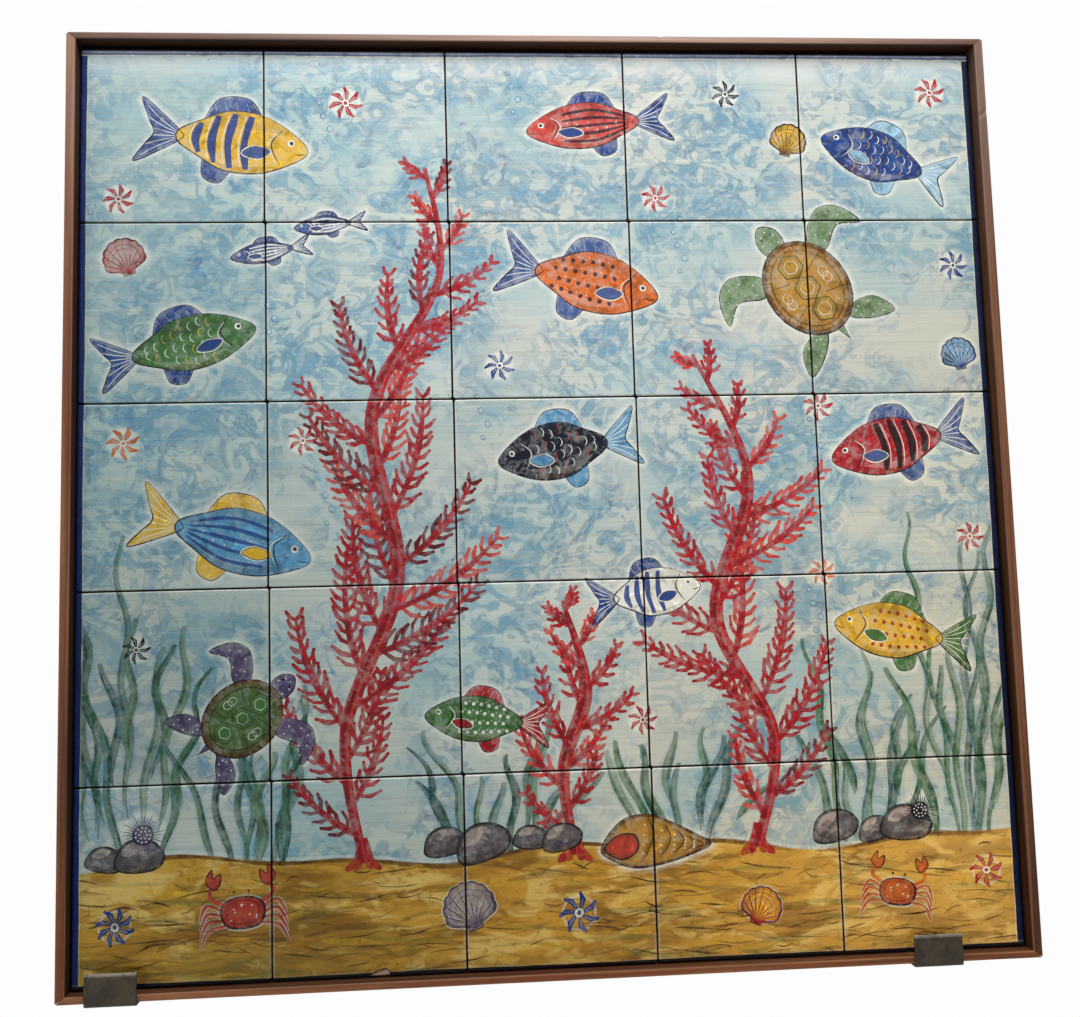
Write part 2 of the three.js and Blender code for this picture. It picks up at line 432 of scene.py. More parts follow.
@dataclass(frozen=True)
class Fish:
    """A plain swimming fish with a forked tail; it looks to the left unless mirrored."""

    x: float
    z: float
    length: float
    turn: float
    mirror: bool
    pattern: FishPattern
    ground: Hue
    mark: Hue
    fins: Hue
    depth: float = 0.2

    def paint(self, canvas: Canvas) -> None:
        """Paints the fish.

        Args:
            canvas: The canvas.
        """
        b = Brush(canvas, self.x, self.z, self.length, math.radians(self.turn), self.mirror)
        d = self.depth
        back = [(-0.5, 0.0), (-0.42, 0.45 * d), (-0.22, 0.95 * d), (0.0, d), (0.17, 0.6 * d), (0.3, 0.2 * d)]
        belly = [(x, -0.92 * z) for x, z in reversed(back[1:])]
        body = smooth([*back, *belly], 5, True)
        tail = smooth([(0.28, 0.1 * d), (0.4, 0.6 * d), (0.55, 1.1 * d), (0.49, 0.4 * d), (0.45, 0.0),
                       (0.5, -0.45 * d), (0.55, -1.0 * d), (0.4, -0.55 * d), (0.28, -0.1 * d)], 4, True)
        top_fin = smooth([(-0.2, 0.9 * d), (-0.1, 1.45 * d), (0.08, 1.35 * d), (0.16, 0.62 * d)], 5)
        low_fin = smooth([(-0.05, -0.88 * d), (0.02, -1.35 * d), (0.12, -1.2 * d), (0.14, -0.6 * d)], 5)
        for outline in (body, tail, top_fin, low_fin):
            b.halo(outline, 5.0)
        for outline in (tail, top_fin, low_fin):
            b.pooled(outline, self.fins, self.fins, 0.75)
        self._rays(b, d)
        b.pooled(body, self.ground, self.ground, 0.95)
        b.fill(smooth([*back[1:], (0.1, 0.42 * d), (-0.2, 0.5 * d)], 4, True), Hue.INK, 0.2)
        b.fill(smooth([(-0.3, -0.45 * d), (0.0, -0.55 * d), (0.2, -0.3 * d), (0.0, -0.82 * d)], 4, True),
               Hue.WHITE, 0.14)
        b.line(smooth([(-0.3, -0.62 * d), (-0.1, -0.84 * d), (0.12, -0.62 * d)], 6), 0.035 * self.length,
               Hue.UMBER, 0.3, (0.1, 0.1))
        self._flank(b, d)
        b.line(smooth([(-0.33, 0.62 * d), (-0.27, 0.1 * d), (-0.34, -0.55 * d)], 6), 1.6, Hue.INK, 0.9)
        b.line(smooth([(-0.31, 0.5 * d), (-0.25, 0.1 * d), (-0.31, -0.45 * d)], 6), 1.0, Hue.WHITE, 0.85)
        b.line(smooth([(-0.49, -0.06 * d), (-0.45, -0.12 * d), (-0.42, -0.1 * d)], 4), 1.2, Hue.INK, 0.9)
        fin = smooth([(-0.27, -0.12 * d), (-0.17, -0.02 * d), (-0.1, -0.3 * d), (-0.2, -0.4 * d)], 4, True)
        b.contour(fin, 3.4, Hue.WHITE)
        b.pooled(fin, self.fins, self.fins, 0.9)
        b.contour(fin, 1.0, Hue.INK)
        b.dots([(-0.39, 0.22 * d)], 0.024 * self.length, Hue.WHITE)
        b.dots([(-0.393, 0.22 * d)], 0.013 * self.length, Hue.INK)
        for outline in (body, tail):
            b.contour(outline, 1.5, Hue.NIGHT)
        for edge in (top_fin, low_fin):
            b.line(edge, 1.1, Hue.NIGHT)

    def _rays(self, b: Brush, d: float) -> None:
        """Draws the rays of the tail and fins.

        Args:
            b: The brush.
            d: The body's half depth.
        """
        for share in (-0.85, -0.5, -0.15, 0.2, 0.55, 0.9):
            path = smooth([(0.3, 0.1 * d * share), (0.42, 0.5 * d * share), (0.51, 0.92 * d * share)], 3)
            b.line(path, 1.0, Hue.WHITE, 0.8, (0.4, 0.8))
        for x in (-0.12, -0.05, 0.02, 0.09):
            b.line([(x, 0.95 * d), (x + 0.03, 1.28 * d)], 0.9, Hue.WHITE, 0.75)

    def _flank(self, b: Brush, d: float) -> None:
        """Paints the flank in the fish's pattern.

        Args:
            b: The brush.
            d: The body's half depth.
        """
        if self.pattern is FishPattern.BARS:
            for x, reach in ((-0.13, 0.9), (-0.03, 0.92), (0.07, 0.8), (0.17, 0.5)):
                path = smooth([(x, reach * d), (x + 0.025, 0.0), (x - 0.005, -reach * 0.9 * d)], 5)
                b.line(path, 0.048 * self.length, self.mark, 0.95, (0.7, 0.6))
                b.line([(u + 0.035, v * 0.96) for u, v in path], 1.0, Hue.WHITE, 0.9)
        elif self.pattern is FishPattern.STRIPES:
            for share in (-0.62, -0.3, 0.02, 0.34, 0.66):
                rise = [(-0.24, 0.9 * d * share), (0.0, 1.02 * d * share), (0.24, 0.34 * d * share)]
                path = smooth(rise, 6)
                b.line(path, 0.022 * self.length, self.mark, 0.9, (0.6, 0.3))
            b.dots([(-0.2 + 0.07 * i, 0.2 * d * math.cos(i)) for i in range(6)], 0.9, Hue.WHITE)
        elif self.pattern is FishPattern.SPOTS:
            for row, share in enumerate((-0.55, -0.12, 0.3, 0.68)):
                shift = 0.03 * (row % 2)
                places = [(-0.2 + 0.065 * i + shift, share * d * (1 - 0.45 * max(0.0, i / 6 - 0.35)))
                          for i in range(7 - row % 2)]
                b.dots(places, 0.016 * self.length, self.mark, 0.9)
                b.dots([(u + 0.03, v + 0.1 * d) for u, v in places[:-1]], 0.7, Hue.WHITE)
        else:
            for column in range(8):
                u = -0.22 + 0.06 * column
                reach = d * (0.86 if column < 4 else 0.86 - 0.16 * (column - 3))
                rows = max(2, int(reach / d * 5))
                for row in range(rows):
                    v = -reach + 2 * reach * (row + 0.5 + 0.25 * (column % 2)) / rows
                    bows = (ray(a, 0.028, 0.17 * d) for a in (-1.3, -0.6, 0, 0.6, 1.3))
                    arc = [(u + x, v + z) for x, z in bows]
                    b.line(arc, 1.0, Hue.WHITE if (row + column) % 3 else self.mark, 0.85, (0.5, 0.5))


@dataclass(frozen=True)
class Turtle:
    """A swimming turtle seen from above; its head points up before the turn."""

    x: float
    z: float
    length: float
    turn: float
    shell: Hue
    skin: Hue

    def paint(self, canvas: Canvas) -> None:
        """Paints the turtle.

        Args:
            canvas: The canvas.
        """
        b = Brush(canvas, self.x, self.z, self.length, math.radians(self.turn))
        shell = oval(0.0, 0.0, 0.27, 0.33, 26)
        head = smooth([(-0.06, 0.3), (-0.08, 0.42), (0.0, 0.5), (0.08, 0.42), (0.06, 0.3)], 4, True)
        flipper = [(0.2, 0.24), (0.36, 0.36), (0.5, 0.3), (0.56, 0.12), (0.42, 0.2), (0.26, 0.12)]
        front = smooth(flipper, 4, True)
        rear = smooth([(0.15, -0.26), (0.3, -0.3), (0.36, -0.46), (0.22, -0.42), (0.1, -0.32)], 4, True)
        tail = [(-0.03, -0.3), (0.0, -0.43), (0.03, -0.3)]
        limbs = [head, tail]
        for limb in (front, rear):
            limbs += [limb, [(-u, v) for u, v in limb]]
        for outline in (shell, *limbs):
            b.halo(outline, 5.0)
        for limb in limbs:
            b.pooled(limb, self.skin, self.skin, 0.85)
            b.contour(limb, 1.3, Hue.NIGHT)
            b.dots(shrink(limb, 0.62)[::3], 1.0, Hue.WHITE, 0.85)
        b.pooled(shell, Hue.UMBER, self.shell, 0.95)
        b.contour(oval(0.0, 0.0, 0.215, 0.27, 26), 1.4, Hue.SEPIA)
        for v in (0.17, 0.0, -0.17):
            hexagon = oval(0.0, v, 0.085, 0.085, 6, math.pi / 6)
            b.pooled(hexagon, Hue.LEAF, self.shell, 0.6)
            b.contour(hexagon, 1.3, Hue.SEPIA)
            b.contour(shrink(hexagon, 0.55), 0.9, Hue.WHITE, 0.8)
        for side in (-1, 1):
            for v in (-0.09, 0.09):
                b.line([(side * 0.075, v), (side * 0.21, v * 1.5)], 1.2, Hue.SEPIA, 0.9, (0.8, 0.8))
                b.contour(oval(side * 0.15, v * 0.05 + v * 0.2, 0.03, 0.035, 10), 0.9, Hue.WHITE, 0.75)
        for i in range(22):
            angle = math.tau * i / 22
            b.line([ray(angle, 0.22, 0.275), ray(angle, 0.265, 0.325)], 1.0, Hue.SEPIA, 0.85, (1, 0.7))
        b.contour(shell, 1.6, Hue.NIGHT)
        b.dots([(-0.035, 0.42), (0.035, 0.42)], 1.6, Hue.INK)


@dataclass(frozen=True)
class Crab:
    """A crab seen from above with raised claws."""

    x: float
    z: float
    width: float
    turn: float
    shell: Hue

    def paint(self, canvas: Canvas) -> None:
        """Paints the crab.

        Args:
            canvas: The canvas.
        """
        b = Brush(canvas, self.x, self.z, self.width, math.radians(self.turn))
        back = [(-0.24, 0.06), (-0.12, 0.17), (0.12, 0.17), (0.24, 0.06), (0.16, -0.13), (-0.16, -0.13)]
        shell = smooth(back, 5, True)
        b.halo(shell, 6.0)
        for side in (-1, 1):
            for i in range(4):
                rise = 0.06 - 0.09 * i
                joints = ((0.2, 0.04 - 0.05 * i), (0.38, rise + 0.06), (0.47, rise - 0.12))
                leg = smooth([(side * x, z) for x, z in joints], 4)
                b.line(leg, 5.5, Hue.WHITE, 0.4, (1, 0.6), Layer.WIPED)
                b.line(leg, 3.0, self.shell, 0.95, (0.9, 0.25))
                b.line([(u, v + 0.012) for u, v in leg], 0.8, Hue.NIGHT, 0.8)
            arm = smooth([(side * 0.18, 0.1), (side * 0.34, 0.2), (side * 0.3, 0.32)], 4)
            b.line(arm, 4.0, self.shell, 0.95, (0.9, 0.9))
            claw = smooth([(side * 0.3, 0.28), (side * 0.38, 0.38), (side * 0.3, 0.5), (side * 0.29, 0.4),
                           (side * 0.21, 0.45), (side * 0.22, 0.33)], 4, True)
            b.pooled(claw, Hue.DARK_RED, self.shell, 0.95)
            b.contour(claw, 1.2, Hue.NIGHT)
            b.line([(side * 0.06, 0.15), (side * 0.08, 0.23)], 1.2, Hue.NIGHT)
            b.dots([(side * 0.08, 0.24)], 1.5, Hue.INK)
        b.pooled(shell, Hue.DARK_RED, self.shell, 0.95)
        b.contour(shell, 1.5, Hue.NIGHT)
        flecks = [(0.15 * math.sin(i * 1.9), 0.02 + 0.08 * math.cos(i * 2.6)) for i in range(9)]
        b.dots(flecks, 1.0, Hue.WHITE, 0.9)
        b.contour(shrink(shell, 0.72), 1.1, Hue.DARK_RED, 0.8)


@dataclass(frozen=True)
class Scallop:
    """A ribbed fan shell with its hinge at the bottom before the turn."""

    x: float
    z: float
    width: float
    turn: float
    shell: Hue
    rib: Hue

    def paint(self, canvas: Canvas) -> None:
        """Paints the shell.

        Args:
            canvas: The canvas.
        """
        b = Brush(canvas, self.x, self.z, self.width, math.radians(self.turn))
        ribs = 9
        rim = []
        for i in range(ribs * 4 + 1):
            angle = math.radians(205 - 230 * i / (ribs * 4))
            reach = 0.46 + 0.025 * abs(math.sin(math.pi * i / 4))
            rim.append((reach * math.cos(angle), 0.02 + reach * math.sin(angle)))
        fan = [(0.0, -0.34), *rim]
        b.halo(fan, 5.0)
        hinge = [(-0.16, -0.24), (-0.13, -0.37), (0.13, -0.37), (0.16, -0.24)]
        b.fill(hinge, self.rib, 0.85)
        b.contour(hinge, 1.2, Hue.NIGHT)
        b.pooled(fan, self.rib, self.shell, 0.9)
        for i in range(ribs + 1):
            angle = math.radians(205 - 230 * i / ribs)
            edge = (0.45 * math.cos(angle), 0.02 + 0.45 * math.sin(angle))
            middle = (edge[0] * 0.55, edge[1] * 0.5 - 0.13)
            b.line([(0.0, -0.33), middle, edge], 1.5, self.rib, 0.9, (0.5, 0.8))
            b.line([(edge[0] * 0.5 + 0.012, edge[1] * 0.5 - 0.12), (edge[0] * 0.92 + 0.012, edge[1] * 0.92)],
                   1.0, Hue.WHITE, 0.8)
        for reach in (0.26, 0.36):
            b.line([ray(math.radians(198 - 216 * i / 16), reach) for i in range(17)], 1.1, self.rib, 0.6)
        b.contour(fan, 1.4, Hue.NIGHT)


@dataclass(frozen=True)
class Whelk:
    """A spiral shell lying on the sand, its mouth at the left unless mirrored."""

    x: float
    z: float
    length: float
    turn: float
    mirror: bool

    def paint(self, canvas: Canvas) -> None:
        """Paints the shell.

        Args:
            canvas: The canvas.
        """
        b = Brush(canvas, self.x, self.z, self.length, math.radians(self.turn), self.mirror)
        body = smooth([(-0.5, -0.1), (-0.34, 0.16), (-0.1, 0.24), (0.14, 0.18), (0.34, 0.1), (0.5, 0.02),
                       (0.34, -0.08), (0.1, -0.18), (-0.16, -0.24), (-0.36, -0.2)], 5, True)
        b.halo(body, 5.0)
        b.pooled(body, Hue.UMBER, Hue.OCHRE, 0.95)
        for i, u in enumerate((-0.06, 0.1, 0.22, 0.32, 0.4)):
            half = 0.235 - 0.19 * (u + 0.1) / 0.5
            whorl = smooth([(u - 0.03, half), (u + 0.03, half * 0.2), (u - 0.05, -half * 0.85)], 5)
            b.line([(p[0] - 0.02, p[1]) for p in whorl], 5.0 - 0.7 * i, Hue.UMBER, 0.5, (0.4, 0.4))
            b.line(whorl, 1.5, Hue.SEPIA, 0.95)
            b.dots([(u - 0.055, half * s) for s in (0.65, 0.25, -0.15, -0.5)], 1.0, Hue.WHITE, 0.85)
        mouth = smooth([(-0.47, -0.1), (-0.36, 0.03), (-0.2, 0.05), (-0.16, -0.08), (-0.3, -0.18)], 5, True)
        b.pooled(mouth, Hue.SEPIA, Hue.CORAL_RED, 0.95)
        b.contour(mouth, 1.3, Hue.NIGHT)
        b.contour(body, 1.7, Hue.NIGHT)


@dataclass(frozen=True)
class Urchin:
    """A sea urchin: a round body inside a burst of spines."""

    x: float
    z: float
    radius: float
    spine: Hue

    def paint(self, canvas: Canvas) -> None:
        """Paints the urchin.

        Args:
            canvas: The canvas.
        """
        b = Brush(canvas, self.x, self.z, self.radius)
        b.halo(oval(0, 0, 0.9, 0.9, 20), 5.0)
        for i in range(34):
            angle = math.tau * i / 34
            reach = 0.86 + 0.14 * math.sin(i * 2.4)
            b.line([ray(angle, 0.35), ray(angle, reach)], 1.7, self.spine, 0.92, (1, 0.2))
        b.pooled(oval(0, 0, 0.46, 0.44, 18), Hue.INK, self.spine, 0.95)
        for reach, count in ((0.32, 11), (0.17, 6)):
            b.dots([ray(math.tau * i / count, reach) for i in range(count)], 0.9, Hue.WHITE, 0.9)


@dataclass(frozen=True)
class Rosette:
    """A small sea flower of short strokes round a pale eye."""

    x: float
    z: float
    radius: float
    pigment: Hue
    petals: int = 7

    def paint(self, canvas: Canvas) -> None:
        """Paints the flower.

        Args:
            canvas: The canvas.
        """
        b = Brush(canvas, self.x, self.z, self.radius, self.x)
        b.halo(oval(0, 0, 0.8, 0.8, 14), 3.5)
        for i in range(self.petals):
            angle = math.tau * i / self.petals
            petal = [ray(angle, 0.2), ray(angle + 0.1, 0.65), ray(angle + 0.35, 1.0)]
            b.line(petal, 0.3 * self.radius, self.pigment, 0.94, (0.45, 0.4))
            b.line([ray(angle, 0.3), ray(angle + 0.12, 0.7)], 0.9, Hue.WHITE, 0.8)
        b.dots([(0, 0)], self.radius * 0.24, Hue.WHITE)
        b.dots([(0, 0)], self.radius * 0.12, self.pigment)


@dataclass(frozen=True)
class Bubbles:
    """A rising string of air bubbles."""

    x: float
    z: float
    count: int

    def paint(self, canvas: Canvas) -> None:
        """Paints the bubbles.

        Args:
            canvas: The canvas.
        """
        b = Brush(canvas, self.x, self.z)
        for i in range(self.count):
            u, v, radius = 6 * math.sin(i * 1.7), 15 * i, 2.4 + 1.5 * math.sin(i * 1.1) ** 2
            bubble = oval(u, v, radius, radius, 14)
            b.fill(bubble, Hue.PALE_SKY, 0.35)
            b.contour(bubble, 1.0, Hue.SLATE_BLUE, 0.75)
            b.dots([(u - radius * 0.3, v + radius * 0.3)], 0.8, Hue.WHITE)


@dataclass(frozen=True)
class SeaFern:
    """A red fern alga: a bending stem with side fronds that carry short drooping leaflets."""

    path: tuple[Point, ...]
    frond_gap: float
    reach: float
    seed: int

    def paint(self, canvas: Canvas) -> None:
        """Paints the fern.

        Args:
            canvas: The canvas.
        """
        rng = random.Random(self.seed)
        b = Brush(canvas)
        stem = smooth(self.path, 14)
        runs = [0.0]
        for p, q in zip(stem, stem[1:]):
            runs.append(runs[-1] + math.dist(p, q))
        total = runs[-1]
        count = int(total / self.frond_gap)
        for i in range(1, count + 1):
            along = total * i / (count + 0.6)
            index = next(k for k, run in enumerate(runs) if run >= along)
            root = stem[index]
            before = stem[max(index - 2, 0)]
            heading = math.atan2(root[1] - before[1], root[0] - before[0])
            side = 1 if i % 2 else -1
            share = along / total
            bulge = 0.42 + 0.75 * math.sin(math.pi * min(1.0, share * 0.8 + 0.12))
            length = self.reach * bulge * rng.uniform(0.82, 1.1)
            length *= 1.12 - 0.72 * share ** 2
            self._frond(b, root, heading + side * rng.uniform(0.72, 0.98), -side, length, rng)
        x, z = self.path[0]
        for spread in (-19, -9, 8, 18):
            foot = [(x + spread, z - 5 - 0.1 * abs(spread)), (x + spread * 0.4, z + 4), (x, z + 26)]
            b.line(smooth(foot, 6), 8.0, Hue.IRON_RED, 0.93, (0.3, 0.9))
        b.line(stem, 14, Hue.IRON_RED, 0.93, (0.8, 0.3))
        b.line([(x - 2.0, z) for x, z in stem], 4.0, Hue.DARK_RED, 0.6, (0.9, 0.2))
        b.line([(x + 2.2, z) for x, z in stem], 1.6, Hue.CORAL_RED, 0.75, (0.8, 0.2))

    def _frond(self, b: Brush, root: Point, heading: float, curl: int, length: float,
               rng: random.Random) -> None:
        """Paints one side frond with its leaflets.

        Args:
            b: The brush.
            root: Where the frond leaves the stem.
            heading: Its direction there, in radians.
            curl: Which way it bends, 1 or -1.
            length: Its length.
            rng: The seeded source of chance.
        """
        steps = max(4, int(length / 11))
        (x, z), spine, angle = root, [root], heading
        for _ in range(steps):
            x += length / steps * math.cos(angle)
            z += length / steps * math.sin(angle)
            angle += curl * 0.55 / steps
            spine.append((x, z))
        shade = rng.choice((Hue.IRON_RED, Hue.IRON_RED, Hue.CORAL_RED, Hue.DARK_RED))
        for i in range(1, steps + 1):
            (px, pz), (qx, qz) = spine[i], spine[i - 1]
            tangent = math.atan2(pz - qz, px - qx)
            leaf = (9 + length * 0.13) * (1 - 0.55 * i / steps) * rng.uniform(0.8, 1.2)
            for side in (-1, 1):
                tilt = tangent + side * rng.uniform(0.75, 1.1)
                droop = tilt - side * 0.5
                middle = (px + 0.55 * leaf * math.cos(tilt), pz + 0.55 * leaf * math.sin(tilt))
                tip = (middle[0] + 0.5 * leaf * math.cos(droop), middle[1] + 0.5 * leaf * math.sin(droop))
                b.line([(px, pz), middle, tip], rng.uniform(4.2, 5.8), shade, 0.9, (0.8, 0.6))
                b.dots([tip], rng.uniform(1.6, 2.3), shade, 0.9)
        b.line(spine, 7.0, Hue.IRON_RED, 0.92, (0.95, 0.5))
        b.line(spine[: steps // 2 + 1], 2.2, Hue.DARK_RED, 0.55, (0.8, 0.2))


@dataclass(frozen=True)
class WeedClump:
    """A clump of ribbon weed: long watery blades that sway."""

    x: float
    z: float
    spread: float
    height: float
    blades: int
    seed: int

    def paint(self, canvas: Canvas) -> None:
        """Paints the clump.

        Args:
            canvas: The canvas.
        """
        rng = random.Random(self.seed)
        b = Brush(canvas)
        greens = (Hue.WEED, Hue.DEEP_WEED, Hue.PALE_WEED, Hue.WEED, Hue.LEAF)
        for i in range(self.blades):
            share = (i + 0.5) / self.blades - 0.5
            root = self.x + self.spread * 0.6 * share + rng.uniform(-6, 6)
            lean = self.spread * 0.7 * share + rng.uniform(-14, 14)
            tall = self.height * rng.uniform(0.45, 1.0) * (1 - 0.4 * abs(share))
            sway = rng.choice((-1, 1)) * rng.uniform(5, 10)
            phase, waves = rng.uniform(0, 6), tall / rng.uniform(13, 19)
            start = rng.choice((0.0, 0.0, 0.0, 0.15, 0.4))
            path = []
            for k in range(23):
                t = start + (1 - start) * k / 22
                swing = sway * (0.35 + 0.65 * t) * math.sin(phase + waves * t)
                path.append((root + lean * t ** 1.3 + swing, self.z + tall * t))
            green = rng.choice(greens)
            width = rng.uniform(6.5, 11)
            b.line(path, width * 1.6, Hue.SKY, 0.16, (0.8, 0.3))
            b.line(path, width, green, rng.uniform(0.55, 0.8), (0.12 if start else 0.6, 0.35))
            edge = rng.choice((-0.28, 0.28)) * width
            b.line([(x + edge, z) for x, z in path[1:]], width * 0.4, Hue.DEEP_WEED, 0.5, (0.3, 0.3))
            b.line([(x - edge, z) for x, z in path[3:16]], width * 0.22, Hue.PALE_WEED, 0.4, (0.4, 0.2))


@dataclass(frozen=True)
class Stones:
    """A row of rounded stones half sunk in the sand."""

    x: float
    z: float
    widths: tuple[float, ...]
    seed: int

    def paint(self, canvas: Canvas) -> None:
        """Paints the stones.

        Args:
            canvas: The canvas.
        """
        rng = random.Random(self.seed)
        x = self.x
        for width in self.widths:
            b = Brush(canvas, x, self.z + width * rng.uniform(0.05, 0.22), width, rng.uniform(-0.3, 0.3))
            lump = smooth([(-0.5, -0.12), (-0.36, 0.2), (-0.05, 0.33), (0.3, 0.24), (0.5, -0.02),
                           (0.34, -0.27), (-0.1, -0.33), (-0.42, -0.27)], 4, True)
            b.pooled(lump, Hue.STONE_DARK, Hue.STONE, 0.95)
            b.fill(smooth([(-0.36, 0.05), (-0.2, 0.24), (0.08, 0.26), (0.0, 0.1), (-0.2, 0.0)], 4, True),
                   Hue.STONE_LIGHT, 0.8)
            for _ in range(7):
                u, v = rng.uniform(-0.3, 0.3), rng.uniform(-0.2, 0.18)
                dab = smooth([(u - 0.12, v - 0.03), (u, v + 0.03), (u + 0.12, v - 0.05)], 4)
                tint = rng.choice((Hue.STONE_LIGHT, Hue.STONE_DARK, Hue.VIOLET, Hue.STONE_DARK))
                b.line(dab, rng.uniform(0.06, 0.14) * width, tint, rng.uniform(0.25, 0.5), (0.3, 0.2))
            b.line(smooth([(-0.3, -0.2), (0.0, -0.25), (0.32, -0.14)], 5), 0.12 * width, Hue.STONE_DARK, 0.5)
            b.contour(lump, 1.6, Hue.INK)
            x += width * 0.86


@dataclass(frozen=True)
class SandBand:
    """The sea floor: a wavy band of ochre with brown ripples."""

    half_width: float
    top: float
    bottom: float
    seed: int = 7
    ripples: int = 46
    broad_strokes: int = 300
    fine_strokes: int = 170

    def edge(self, x: float) -> float:
        """Height of the band's upper edge."""
        return self.top + 7 * math.sin(x / 70 + 0.6) + 4 * math.sin(x / 31 + 2)

    def paint(self, canvas: Canvas) -> None:
        """Paints the band, its rim and its ripples.

        Args:
            canvas: The canvas.
        """
        rng = random.Random(self.seed)
        b = Brush(canvas)
        count = 96
        xs = [-self.half_width + 2 * self.half_width * i / count for i in range(count + 1)]
        rim = [(x, self.edge(x)) for x in xs]
        for start in range(0, count, 4):
            piece = rim[start:start + 5]
            b.fill([(piece[0][0], self.bottom), (piece[-1][0], self.bottom), *reversed(piece)],
                   Hue.OCHRE, 1.0, Layer.SAND)
        b.line([(x, z + 2.2) for x, z in rim], 3.6, Hue.WHITE, 0.5, (1, 1), Layer.WIPED)
        for _ in range(self.ripples):
            start = rng.uniform(-self.half_width, self.half_width - 60)
            run = rng.uniform(40, 130)
            path = [(start + run * k / 8, self.edge(start + run * k / 8) - 1.8) for k in range(9)]
            b.line(path, rng.uniform(2.5, 6), Hue.UMBER, rng.uniform(0.4, 0.7), (0.2, 0.1))
        shades = (Hue.UMBER, Hue.UMBER, Hue.OCHRE, Hue.SEPIA, Hue.YELLOW, Hue.UMBER, Hue.LEAF)
        for _ in range(self.broad_strokes):
            path = self._stroke(rng, 8, 10, (25, 90), 8, 7)
            b.line(path, rng.uniform(2.5, 8), rng.choice(shades), rng.uniform(0.14, 0.42), (0.3, 0.15))
        for _ in range(self.fine_strokes):
            path = self._stroke(rng, 10, 12, (14, 55), 9, 4)
            b.line(path, rng.uniform(0.9, 2.1), Hue.SEPIA, rng.uniform(0.5, 0.9), (0.3, 0.1))

    def _stroke(self, rng: random.Random, above: float, below: float, runs: Point, slant: float,
                sag: float) -> list[Point]:
        """Finds the path of one bowed stroke.

        Args:
            rng: The seeded source of chance.
            above: Least height over the band's lower edge.
            below: Least drop from its upper edge.
            runs: Shortest and longest run.
            slant: Most that the far end rises or falls.
            sag: Most that the middle bows.

        Returns:
            The path.
        """
        x = rng.uniform(-self.half_width, self.half_width)
        z = rng.uniform(self.bottom + above, self.top - below)
        run, rise, bow = rng.uniform(*runs), rng.uniform(-slant, slant), rng.uniform(-sag, sag)
        shares = [k / 6 for k in range(7)]
        return [(x + run * (s - 0.5), z + rise * (s - 0.5) + bow * math.sin(math.pi * k / 6))
                for k, s in enumerate(shares)]


@dataclass(frozen=True)
class WashDabs:
    """Clusters of small curled dabs of thin blue in the water."""

    half_width: float
    bottom: float
    top: float
    clusters: int
    dabs: int
    seed: int = 21

    def paint(self, canvas: Canvas) -> None:
        """Paints the dabs.

        Args:
            canvas: The canvas.
        """
        rng = random.Random(self.seed)
        b = Brush(canvas)
        blues = (Hue.SKY, Hue.SKY, Hue.SKY, Hue.SLATE_BLUE, Hue.PALE_SKY, Hue.SKY)
        for _ in range(self.clusters):
            cx, cz = rng.uniform(-self.half_width, self.half_width), rng.uniform(self.bottom, self.top)
            drift = rng.uniform(0, math.tau)
            for _dab in range(self.dabs):
                cx += rng.uniform(2, 9) * math.cos(drift)
                cz += rng.uniform(2, 9) * math.sin(drift)
                drift += rng.uniform(-0.7, 0.7)
                x, z = cx + rng.gauss(0, 8), cz + rng.gauss(0, 8)
                angle, bend, run = rng.uniform(0, math.tau), rng.uniform(-3.0, 3.0), rng.uniform(10, 27)
                path = [(x, z)]
                for _step in range(6):
                    angle += bend / 6
                    x, z = x + run / 6 * math.cos(angle), z + run / 6 * math.sin(angle)
                    path.append((x, z))
                width, blue, cover = rng.uniform(3.0, 8.5), rng.choice(blues), rng.uniform(0.08, 0.26)
                b.line(path, width, blue, cover, (0.5, 0.25))
                side = math.copysign(0.42 * width, bend)
                across, up = side * math.sin(angle - bend), side * math.cos(angle - bend)
                edge = [(u + across, v - up) for u, v in path]
                rim = Hue.SLATE_BLUE if blue is Hue.SLATE_BLUE else Hue.SKY
                b.line(edge, rng.uniform(0.9, 1.8), rim, cover * 1.5, (0.3, 0.2))


